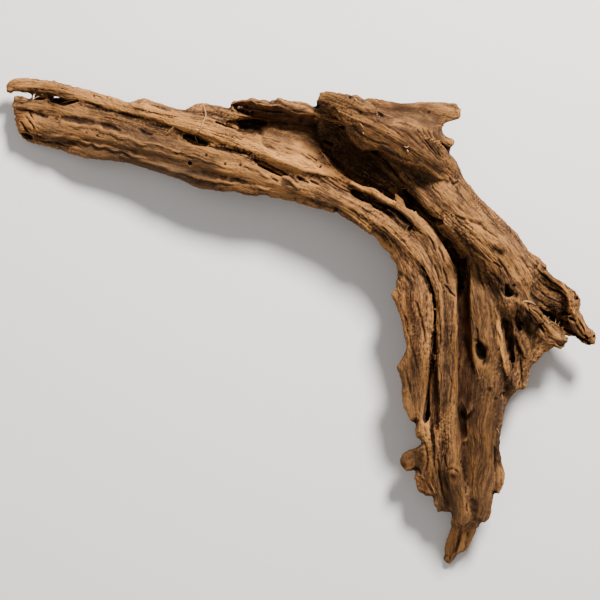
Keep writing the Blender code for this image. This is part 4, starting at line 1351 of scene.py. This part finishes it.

# %% Stains, painted highlights and painted shade
# Each stain is x, y (twice for a long one), its reach and its strength. Some are painted light: the pale one
# is partly painted highlight, the brown one partly painted shade and the near-black one all painted shade.
STAINS = {
    # Partly sand wear and partly painted highlight: the lit tops of the rail and trough, lit edges and lip,
    # and a lighter channel floor.
    "worn_and_highlight": ((15, 82, 75, 92, 6, 0.35), (78, 94, 130, 106, 6, 0.5), (148, 112, 215, 136, 8, 0.95),
             (215, 139, 300, 162, 8, 0.95), (300, 163, 342, 179, 6, 0.9), (298, 146, 312, 158, 6, 0.5),
             (345, 182, 396, 206, 5, 0.5), (60, 108, 24, 0.3), (30, 126, 10, 0.6),
             (583, 325, 586, 330, 2, 0.8), (594, 340, 2, 0.6), (405, 250, 418, 258, 4, 0.6),
             (380, 225, 412, 258, 10, 0.4), (434, 222, 14, 0.3), (226, 122, 9, 0.4),
             (350, 205, 400, 240, 8, 0.4), (230, 172, 300, 192, 12, 0.45),
             (455.5, 300, 455.5, 395, 2.4, 0.2), (498, 322, 504, 368, 2.2, 0.9),
             (402, 298, 409, 342, 6, 0.4), (462, 296, 463, 350, 4, 0.3), (396, 121, 424, 129, 2.4, 0.5),
             (427, 345, 427, 395, 3, 0.4), (524, 304, 556, 336, 4, 0.35), (563, 285, 574, 312, 2, 0.7),
             (515, 270, 12, 0.3), (470, 228, 500, 268, 9, 0.3), (404, 405, 430, 432, 8, 0.5),
             (460, 540, 14, 0.45)),
    "red": ((463, 310, 464, 390, 6, 0.45), (465, 400, 460, 440, 6, 0.3), (405, 310, 20, 0.6),
            (425, 484, 8, 0.9), (452, 478, 5, 0.9), (404, 350, 16, 0.5), (350, 150, 20, 0.4),
            (395, 130, 26, 0.2), (20, 118, 28, 136, 7, 0.8), (434, 370, 434, 440, 3, 0.5),
            (500, 395, 12, 0.4), (402, 460, 5, 0.4)),
    "grey": ((490, 392, 22, 0.4), (480, 300, 26, 0.3), (130, 152, 40, 0.4), (120, 160, 200, 180, 10, 0.8),
             (226, 122, 10, 0.6), (256, 170, 9, 0.6), (440, 520, 24, 0.3), (410, 398, 16, 0.4),
             (446, 345, 445, 400, 7, 0.25), (385, 113, 430, 118, 8, 0.3), (480, 330, 14, 0.4),
             (45, 122, 58, 133, 6, 0.5)),
    # Partly the wood's own darker tone and partly painted shade: the crown slope turned from the key light,
    # under the rail, the limb's lower side and the trough's shadow edge.
    "brown_and_painted_shade": ((420, 142, 24, 0.7), (372, 132, 18, 0.6), (440, 162, 18, 0.75),
              (366, 136, 428, 166, 10, 1.0), (434, 140, 10, 0.95), (408, 458, 12, 0.9),
              (470, 350, 490, 440, 26, 0.85), (480, 320, 22, 0.7), (460, 390, 12, 0.5),
              (456, 470, 26, 0.55), (130, 150, 30, 0.2), (110, 158, 200, 186, 9, 0.4),
              (200, 186, 300, 200, 8, 0.5), (200, 176, 30, 0.4), (335, 98, 375, 110, 12, 0.6),
              (375, 108, 440, 118, 10, 0.7), (520, 350, 20, 0.6), (545, 290, 24, 0.8), (556, 312, 22, 0.6),
              (577, 326, 592, 342, 5, 0.8), (490, 240, 36, 0.15), (470, 215, 520, 262, 8, 0.2),
              (500, 252, 5, 0.9), (505, 262, 530, 290, 16, 0.5), (414, 372, 20, 0.8),
              (447, 330, 447, 410, 7, 0.5), (466, 196, 18, 0.4), (60, 128, 26, 0.25),
              (268, 124, 300, 133, 7, 0.75), (304, 134, 340, 176, 9, 0.95), (92, 110, 182, 137, 4, 0.5),
              (400, 222, 412, 236, 5, 0.5)),
    # Painted shade: near-black in the hollows, splits, holes, crack and channel floors, and along shadow
    # edges under the crown.
    "painted_shade": ((455, 268, 12, 0.95), (350, 154, 16, 0.5), (370, 168, 18, 0.8), (410, 196, 11, 1.0),
             (330, 134, 14, 0.8), (250, 126, 10, 0.9), (556, 318, 9, 0.9), (520, 312, 527, 330, 5, 0.8),
             (52, 101, 12, 0.7), (462, 285, 463, 300, 5.6, 0.35), (465, 385, 463, 410, 5, 0.4),
             (461, 412, 464, 436, 4.4, 0.75), (434, 368, 434, 425, 2.8, 0.75), (427, 415, 3.6, 0.9),
             (477.5, 344, 479, 354, 3.4, 1.0), (486, 359, 6, 0.55), (507, 330, 511, 352, 4, 0.5),
             (422, 133, 441, 152, 5, 0.7), (378, 138, 410, 150, 6, 0.25), (404, 167, 432, 182, 3, 0.5),
             (530, 336, 546, 345, 5, 0.7), (544, 285, 565, 296, 4, 0.55), (566, 329, 588, 342, 2.4, 0.85),
             (350, 190, 374, 200, 3, 0.4), (322, 134, 342, 163, 7, 0.3), (511, 291, 3.4, 0.3)),
}
# The dips, in squares, over which the painted hollow shade goes from none on the edges to full.
FINE_DIPS = (-0.35, 0.5)
BROAD_DIPS = (-1.6, 2.6)


def attribute(mesh, name, values):
    """Keeps a value, or three, for each vertex under a name that the material can read."""
    kind, key = ("FLOAT_VECTOR", "vector") if values.ndim == 2 else ("FLOAT", "value")
    layer = mesh.attributes.new(name, kind, "POINT")
    layer.data.foreach_set(key, np.ascontiguousarray(values, dtype=np.float32).ravel())


uneven = 0.75 + 0.25 * noise(squares / 7, 51)
for name, spots in STAINS.items():
    attribute(wood.data, name, spots_over(spots) * uneven * seen)
attribute(wood.data, "grain", grain)
attribute(wood.data, "calm", calm_spots)
# Painted shade for the hollows, from the fine and the broad dips: full in the dips and none on the edges.
hollow_shade = smooth_step(fine_dip, *FINE_DIPS) * 0.5 + smooth_step(broad_dip, *BROAD_DIPS) * 0.5
attribute(wood.data, "hollow_shade", hollow_shade)
# Painted shade in the grooves, pits and splits.
parted = np.maximum.reduce([0.6 * cracks, 0.45 * checks, 0.25 * dents])
attribute(wood.data, "groove_shade", np.maximum(shaded_grooves, parted))
CARRIED = (*STAINS, "grain", "calm", "hollow_shade", "groove_shade")
print("attributes:", [layer.name for layer in wood.data.attributes if layer.name in CARRIED])

# %% [markdown]
# ## Weathered wood
#
# The colour has three parts. Streaks run with the fibres, from straw to umber. Dips and grooves get painted
# shade and edges are left lighter, in place of the light they would lose or catch. Stains lie over both:
# red-brown heartwood in the channel, pale sand-worn patches that also carry painted highlights on the lit
# tops, grey bloom, a browning that is partly the wood's own and partly painted shade, and near-black painted
# shade in the hollows and splits. In the smooth places the fine streaks and the marks fade. The bump uses the
# same streaks, so a dark streak is also a low one.

# %% Shader helpers
class Nodes:
    """A short way to write a material's nodes: each call adds one and links what it is given."""

    def __init__(self, name):
        self.material = bpy.data.materials.new(name)
        self.material.use_nodes = True
        self.tree = self.material.node_tree
        self.shader = self.tree.nodes["Principled BSDF"]

    def add(self, kind, inputs=None, **settings):
        node = self.tree.nodes.new(kind)
        for key, value in settings.items():
            setattr(node, key, value)
        for key, value in (inputs or {}).items():
            self.feed(node.inputs[key], value)
        return node

    def feed(self, socket, value):
        if isinstance(value, bpy.types.NodeSocket):
            self.tree.links.new(value, socket)
        else:
            socket.default_value = value

    def attribute(self, name, output="Fac"):
        return self.add("ShaderNodeAttribute", attribute_name=name).outputs[output]

    def math(self, operation, a, b=0.0):
        return self.add("ShaderNodeMath", {0: a, 1: b}, operation=operation).outputs[0]

    def times(self, a, b):
        return self.math("MULTIPLY", a, b)

    def plus(self, first, *others):
        for other in others:
            first = self.math("ADD", first, other)
        return first

    def minus(self, a, b):
        return self.math("SUBTRACT", a, b)

    def ramp(self, value, *stops):
        """A colour for each value, blended between stops of a position and a colour."""
        node = self.add("ShaderNodeValToRGB", {"Fac": value})
        elements = node.color_ramp.elements
        while len(elements) < len(stops):
            elements.new(0.5)
        for element, (position, colour) in zip(elements, stops):
            element.position = position
            element.color = (*colour, 1)
        return node.outputs["Color"]

    def level(self, value, low, high, out_low=0.0, out_high=1.0):
        """The first output up to the low value, the second from the high one on, and a slope between them."""
        inputs = {"Value": value, "From Min": low, "From Max": high, "To Min": out_low, "To Max": out_high}
        return self.add("ShaderNodeMapRange", inputs, interpolation_type="SMOOTHSTEP").outputs["Result"]

    def mix(self, factor, a, b, blend="MIX"):
        node = self.add("ShaderNodeMix", data_type="RGBA", blend_type=blend)
        self.feed(node.inputs["Factor"], factor)
        self.feed(node.inputs["A"], a if isinstance(a, bpy.types.NodeSocket) else (*a, 1))
        self.feed(node.inputs["B"], b if isinstance(b, bpy.types.NodeSocket) else (*b, 1))
        return node.outputs["Result"]

    def noise(self, coordinates, scale, detail, **inputs):
        inputs.update({"Vector": coordinates, "Scale": scale, "Detail": detail})
        return self.add("ShaderNodeTexNoise", inputs).outputs["Fac"]

    def streaks(self, coordinates, width, length, detail, seed):
        """Noise stretched along the fibres, with lumps this wide and this long in squares."""
        steps = (("MULTIPLY", (1 / width, 1 / length, 1 / width)),
                 ("ADD", (seed * 7.3, seed * 3.1, seed * 5.7)))
        for operation, values in steps:
            node = self.add("ShaderNodeVectorMath", {0: coordinates, 1: values}, operation=operation)
            coordinates = node.outputs[0]
        return self.noise(coordinates, 1.0, detail, Roughness=0.62, Distortion=0.2)

    def splits(self, coordinates, width, length, seed, thickness, rare):
        """Thin splits between strands of this width: 1 in a split and 0 beside it."""
        across, along, lift = self.add("ShaderNodeSeparateXYZ", {0: coordinates}).outputs
        bend = self.streaks(coordinates, width * 3, length * 1.5, 1, seed)
        lane = self.math("DIVIDE", self.plus(across, self.times(lift, LEAN)), width)
        lane = self.plus(lane, self.times(bend, 3.0))
        number = self.math("ROUND", lane)
        on_strand = {0: self.times(number, STRAND_STEP), 1: self.math("DIVIDE", along, length), 2: seed}
        strand = self.add("ShaderNodeCombineXYZ", on_strand).outputs[0]
        opening = self.level(self.noise(strand, 1.0, 1.0), rare, rare + 0.12)
        gap = self.times(self.math("ABSOLUTE", self.minus(lane, number)), width)
        edge = self.math("DIVIDE", gap, self.plus(self.times(opening, thickness), 0.01))
        return self.times(opening, self.level(edge, 0.2, 1.0, 1.0, 0.0))

# %% The wood's material
STRAW = (0.350, 0.163, 0.054)
TAN = (0.148, 0.073, 0.0325)
BROWN = (0.064, 0.0305, 0.0155)
UMBER = (0.020, 0.0102, 0.0062)
# The near-black of all the painted shade.
PAINTED_SHADE_COLOUR = (0.007, 0.0048, 0.0034)
HEARTWOOD = (0.084, 0.027, 0.009)
# Pale sand-worn wood, also used as a painted highlight.
SAND_WORN_AND_HIGHLIGHT = (0.70, 0.318, 0.096)
BLOOM = (0.105, 0.063, 0.036)
# What the browning multiplies in: the wood's darker tone and painted shade.
SHADE = (0.29, 0.275, 0.27)
RAMP_STOPS = ((0.05, UMBER), (0.32, BROWN), (0.55, TAN), (0.82, STRAW))
WOOD_ROUGHNESS = 0.82
WOOD_GLOSS = 0.06
BUMP_DEPTH = 0.0010
MOTTLE_SCALE = 90.0
GRIT_SCALE = 900.0
CALM_SHARE = 0.8
# How much the painted hollow shade lowers the tone.
DIP_SHADE = 0.94


def weathered_wood():
    make = Nodes("weathered_root_wood")
    grain = make.attribute("grain", "Vector")
    hollow_shade = make.attribute("hollow_shade")
    spot = make.add("ShaderNodeTexCoord").outputs["Object"]

    broad = make.level(make.streaks(grain, 11, 120, 3, 1), 0.32, 0.68)
    patches = make.level(make.streaks(grain, 8, 24, 3, 9), 0.35, 0.65)
    narrow = make.level(make.streaks(grain, 3.0, 30, 4, 2), 0.32, 0.68)
    hair = make.level(make.streaks(grain, 1.3, 8, 3, 3), 0.30, 0.70)
    mottle = make.noise(spot, MOTTLE_SCALE, 5.0, Roughness=0.6)
    grit = make.noise(spot, GRIT_SCALE, 3.0, Roughness=0.7)
    dashes = make.level(make.streaks(grain, 1.6, 5, 2, 8), 0.37, 0.27)
    marks = make.plus(make.times(make.splits(grain, 7, 26, 4, 0.7, 0.58), 0.20),
                      make.times(make.splits(grain, 3, 10, 6, 0.5, 0.58), 0.16), make.times(dashes, 0.20))
    bold = make.minus(1.0, make.times(make.attribute("calm"), CALM_SHARE))
    marks = make.times(marks, bold)
    small = make.plus(make.times(narrow, 0.20), make.times(hair, 0.34))
    small = make.times(make.minus(small, 0.27), bold)

    tone = make.plus(make.times(broad, 0.24), make.times(patches, 0.20), small, 0.27,
                     make.times(mottle, 0.30), 0.22)
    # Painted shade: the tone is lowered in the hollows and left lighter on the edges.
    tone = make.minus(make.minus(tone, make.times(hollow_shade, DIP_SHADE)), marks)
    colour = make.ramp(tone, *RAMP_STOPS)
    # Sand wear and painted highlight on the lit tops.
    colour = make.mix(make.times(make.attribute("worn_and_highlight"), make.level(tone, 0.3, 0.6)), colour, SAND_WORN_AND_HIGHLIGHT)
    colour = make.mix(make.times(make.attribute("red"), 0.75), colour, HEARTWOOD)
    colour = make.mix(make.times(make.attribute("grey"), make.level(mottle, 0.3, 0.6)), colour, BLOOM)
    # Browning: partly the wood's own tone and partly painted shade.
    colour = make.mix(make.attribute("brown_and_painted_shade"), colour, SHADE, "MULTIPLY")
    # Painted shade from the grooves, the hollows and the near-black stain, mixed towards the painted shade
    # colour; the gloss is taken away there too.
    painted_shade_share = make.times(make.attribute("groove_shade"), 0.62)
    painted_shade_share = make.math("MAXIMUM", painted_shade_share, make.level(hollow_shade, 0.62, 0.98, 0.0, 0.85))
    painted_shade_share = make.math("MAXIMUM", painted_shade_share, make.times(make.attribute("painted_shade"), 0.85))
    colour = make.mix(painted_shade_share, colour, PAINTED_SHADE_COLOUR)
    make.feed(make.shader.inputs["Base Color"], colour)

    make.shader.inputs["Roughness"].default_value = WOOD_ROUGHNESS
    make.feed(make.shader.inputs["Specular IOR Level"], make.times(make.minus(1.0, painted_shade_share), WOOD_GLOSS))
    relief = make.plus(make.times(narrow, 0.45), make.times(hair, 0.32), make.times(grit, 0.25))
    relief = make.minus(relief, marks)
    bump = make.add("ShaderNodeBump", {"Height": relief, "Distance": BUMP_DEPTH, "Strength": 1.0})
    make.feed(make.shader.inputs["Normal"], bump.outputs["Normal"])
    return make.material


wood.data.materials.clear()
wood.data.materials.append(weathered_wood())
wood.data.shade_smooth()
attribute(wood.data, "skin_normal", normals)
print("materials:", [material.name for material in wood.data.materials])

# %% [markdown]
# ## Lighten the hidden side
#
# The underside and the inner walls have as many faces as the side that is looked at, and need far fewer.
# Decimate joins faces there, guided by a vertex group, and leaves the seen side as it is.

# %% Lighten the hidden side
KEPT_SHARE = 0.62
HIDDEN_LEVELS = 8


def lighten():
    """Joins faces where the wood isn't seen from above. The group's weight says how much."""
    group = wood.vertex_groups.new(name="hidden")
    hidden = np.round((1 - seen) * HIDDEN_LEVELS).astype(int)
    for step in range(1, HIDDEN_LEVELS + 1):
        group.add(np.flatnonzero(hidden == step).tolist(), step / HIDDEN_LEVELS, "REPLACE")
    fewer = wood.modifiers.new("fewer", "DECIMATE")
    fewer.ratio = KEPT_SHARE
    fewer.vertex_group = group.name
    settle(wood)
    wood.vertex_groups.clear()


lighten()
wood_top = linked("wood_top", wood.data.copy())
print("after lightening:", len(wood.data.vertices), "vertices")

# %% [markdown]
# ## Part the wood at its forks
#
# Each branch of the frame is a node of its own, so the finished skin is cut at the same forks and each cut
# is closed. The largest branches are cut once more, to keep every mesh light. The cut faces meet exactly
# and can't be seen. A Boolean with a plain box does it, and its Manifold solver is the one that is fast on
# a dense mesh.

# %% Part the wood
# Each piece has the node that it stands for and the low and high corners of its box. What is left is the
# neck.
FORKS = {
    "limb_tip": ("long_limb", (-20, 20, -20), (150, 240, 140)),
    "limb": ("long_limb", (150, 20, -20), (296, 240, 140)),
    "horn": ("horn", (438, 60, 46), (480, 126, 140)),
    "spur": ("right_spur", (536, 250, -20), (620, 380, 140)),
    "knob": ("knob", (380, 445, -20), (416, 472, 140)),
    "toe": ("leg", (370, 430, -20), (532, 600, 140)),
    "leg": ("leg", (370, 362, -20), (532, 430, 140)),
    "leg_top": ("leg", (370, 304, -20), (532, 362, 140)),
    "trough": ("crown", (296, 20, -20), (348, 304, 140)),
    "bend": ("crown", (348, 160, -20), (404, 304, 140)),
    "crown": ("crown", (348, 20, -20), (404, 160, 140)),
    "crown_side": ("crown", (404, 20, -20), (620, 196, 140)),
}
ON_CUT = 3e-6


def fork_box(name, low, high):
    """A box with these corners on the grid."""
    a, b = place(*low[:2], DRAWN_HEIGHT), place(*high[:2], DRAWN_HEIGHT)
    corner = Vector((a.x, b.y, low[2] * GRID))
    size = Vector((b.x, a.y, high[2] * GRID)) - corner
    bm = bmesh.new()
    bmesh.ops.create_cube(bm, size=1)
    bmesh.ops.scale(bm, vec=size, verts=bm.verts)
    bmesh.ops.translate(bm, vec=corner + size / 2, verts=bm.verts)
    return drawn(name, bm)


def cut_planes():
    """The places of all the cuts, along x, y and z."""
    corners = [(*place(*corner[:2], DRAWN_HEIGHT)[:2], corner[2] * GRID)
               for _, low, high in FORKS.values() for corner in (low, high)]
    return [sorted({corner[axis] for corner in corners}) for axis in (0, 1, 2)]


def beside_cuts(points):
    """Which points lie on one of the cuts."""
    return np.logical_or.reduce([np.abs(points[:, axis] - plane) < ON_CUT
                                 for axis, planes in enumerate(cut_planes()) for plane in planes])


def carry_over(piece):
    """Gives the vertices that the cuts added the values that the skin has there."""
    layers = [wood_top.data.attributes[name] for name in (*CARRIED, "skin_normal")]
    chosen = np.flatnonzero(beside_cuts(read_vertices(piece.data)[0])).tolist()
    shares = [top_skin.shares(piece.data.vertices[index].co) for index in chosen]
    for layer in layers:
        key = "vector" if layer.data_type == "FLOAT_VECTOR" else "value"
        target = piece.data.attributes[layer.name].data
        for index, (corners, weights) in zip(chosen, shares):
            values = (np.multiply(getattr(layer.data[corner], key), weight)
                      for corner, weight in zip(corners, weights))
            setattr(target[index], key, sum(values))


def keep_the_shading(piece):
    """Shades the skin beside a cut as it was before the cut, and the cut itself flat."""
    mesh = piece.data
    points = read_vertices(mesh)[0]
    skin = read(mesh.attributes["skin_normal"].data, "vector", 3)
    corner_point = read(mesh.loops, "vertex_index", kind=np.int32)
    sizes = read(mesh.polygons, "loop_total", kind=np.int32)
    face = np.repeat(np.arange(len(sizes)), sizes)
    flat = read(mesh.polygons, "normal", 3, np.float32)
    shading = np.zeros((len(corner_point), 3))
    beside = np.zeros(len(points), dtype=bool)
    on_cap = np.zeros(len(sizes), dtype=bool)
    for axis, planes in enumerate(cut_planes()):
        for plane in planes:
            touching = np.abs(points[:, axis] - plane) < ON_CUT
            beside |= touching
            on_cap |= np.bincount(face, touching[corner_point], len(sizes)) == sizes
    on_cap = on_cap[face]
    chosen = beside[corner_point] & ~on_cap
    shading[chosen] = skin[corner_point[chosen]]
    shading[on_cap] = flat[face[on_cap]]
    mesh.normals_split_custom_set(shading)
    mesh.attributes.remove(mesh.attributes["skin_normal"])


def part_the_wood():
    """Cuts the branches off one by one. Each piece comes with the node that it stands for."""
    pieces = []
    for name, (node, low, high) in FORKS.items():
        box = fork_box(f"{name}_box", low, high)
        branch = linked(f"weathered_{name}", wood.data.copy())
        boolean(branch, "INTERSECT", box)
        boolean(wood, "DIFFERENCE", box)
        bpy.data.objects.remove(box)
        pieces.append((branch, node))
    wood.name = "weathered_neck"
    pieces.append((wood, "crown"))
    return pieces


top_skin = Skin(wood_top)
for piece, node in part_the_wood():
    carry_over(piece)
    keep_the_shading(piece)
    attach(piece, "root")
    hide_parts(node)
    piece.data.calc_loop_triangles()
    print(piece.name, len(piece.data.loop_triangles), "triangles")

# %% [markdown]
# ## Loose fibres
#
# A few fibres have come away from the wood and catch the light: long hairs over the hollows, short ones
# along the edges, and pale chips. Each is a thin tapered sweep that follows the skin at its own heights.
# They are too thin for voxels, so they stay a mesh of their own.

# %% Loose fibres
# The first number is the radius, and then come x, y and how far each station stands off the skin.
HAIRS = (
    (0.62, (203, 105, 0), (205, 110, 3), (206, 116, 5), (203, 123, 5), (200, 130, 4), (196, 133, 2),
     (192, 134.5, 0)),
    (0.5, (195, 134, 1), (196, 140, 4), (200, 145, 0)),
    (0.42, (33, 100, 2), (38, 96.5, 6), (43, 97.5, 2)),
    (0.5, (61, 103.5, 2), (68, 101.4, 6), (74, 100.4, 5), (80, 99, 1)),
    (0.5, (165, 135.5, 0), (169, 131.5, 2.5), (174, 126.5, 4)),
    (0.4, (168, 134, 0), (172, 131, 2), (173.5, 128.5, 3)),
    (0.5, (411, 217, 0), (413.5, 214, 3), (412, 210.5, 3), (409, 211, 1)),
    (0.8, (394, 201, -2), (396, 198, 2), (397.5, 195, 3.5)),
    (0.8, (402, 205, -2), (399.5, 200, 2), (397.5, 195, 3.5)),
    (0.8, (415, 219, -2), (416.5, 216, 2), (417.5, 213, 3)),
    (0.7, (424, 220, -2), (421, 216.5, 2), (417.5, 213, 3)),
    (0.55, (401, 188.5, 0), (404, 188.5, 4), (408, 187, 1)),
    (0.45, (382, 194, 0), (384, 191.5, 2.5)),
    (0.45, (369, 187, 0), (368, 183.5, 2)),
    (0.42, (359.5, 123, 0.3), (361.5, 125.5, 0.9), (363, 127.5, 0.3)),
    (0.4, (362.5, 132.5, 0.3), (363.5, 133.5, 0.8), (364, 134.5, 0.3)),
    (0.4, (387.5, 131.5, 0.3), (389, 132, 0.8), (391, 133.3, 0.3)),
    (0.5, (404, 146, 0.4), (407, 147.5, 1.2), (409, 146, 0.4)),
    (0.8, (407.3, 149.5, 0.2), (407.6, 151, 1), (407.8, 152.6, 0.2)),
    (0.6, (401, 158, 0.2), (401.4, 159.5, 0.8), (401.6, 161, 0.2)),
    (0.6, (354, 98, 0.3), (356, 100, 1), (357.5, 101.5, 0.3)),
    (0.8, (522, 302, 0), (526, 301.3, 1), (531, 301.8, 1.2), (535.5, 304.5, 0.2)),
    (0.28, (544, 313, 0), (546, 319, 2), (550, 325, 0)),
    (0.28, (549, 316, 0), (548, 322, 2), (551, 328, 0)),
    (0.28, (556, 318, 0), (555, 324, 2), (551, 329, 0)),
    (0.28, (560, 321, 0), (558, 327, 2), (561, 333, 0)),
    (0.28, (546, 324, 0), (552, 322, 2), (558, 325, 0)),
    (0.35, (570, 318, 0), (571, 322, 1.5), (575, 324, 0)),
    (0.35, (496, 428, 0), (498, 430, 1.2), (499, 434, 0)),
    (0.5, (452, 216.5, 0), (453, 214.5, 2), (454.5, 216, 0)),
)
TAPER = 0.6
FIBRE_COLOUR = (0.36, 0.20, 0.085)
FIBRE_ROUGHNESS = 0.7


def loose_fibres():
    bundle = swept_mesh("hairs")
    bundle.data.bevel_resolution = 1
    for radius, *stations in HAIRS:
        rows = curve_points(stations)
        heights = heights_along(top_skin, rows) + rows[:, 2]
        t = np.linspace(-1, 1, len(rows))
        sweep(bundle.data, np.column_stack([rows[:, :2], radius * (1 - TAPER * t**4)]), heights)
    hairs = curve_to_solid(bundle)
    hairs.name = "loose_fibres"
    hairs.data.materials.clear()
    hairs.data.materials.append(plain_material("pale_fibre", FIBRE_COLOUR, FIBRE_ROUGHNESS))
    hairs.data.shade_smooth()
    return hairs


hairs = loose_fibres()
bpy.data.objects.remove(wood_top)
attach(hairs, "root")
print("loose fibres:", len(HAIRS), "with", len(hairs.data.polygons), "faces")
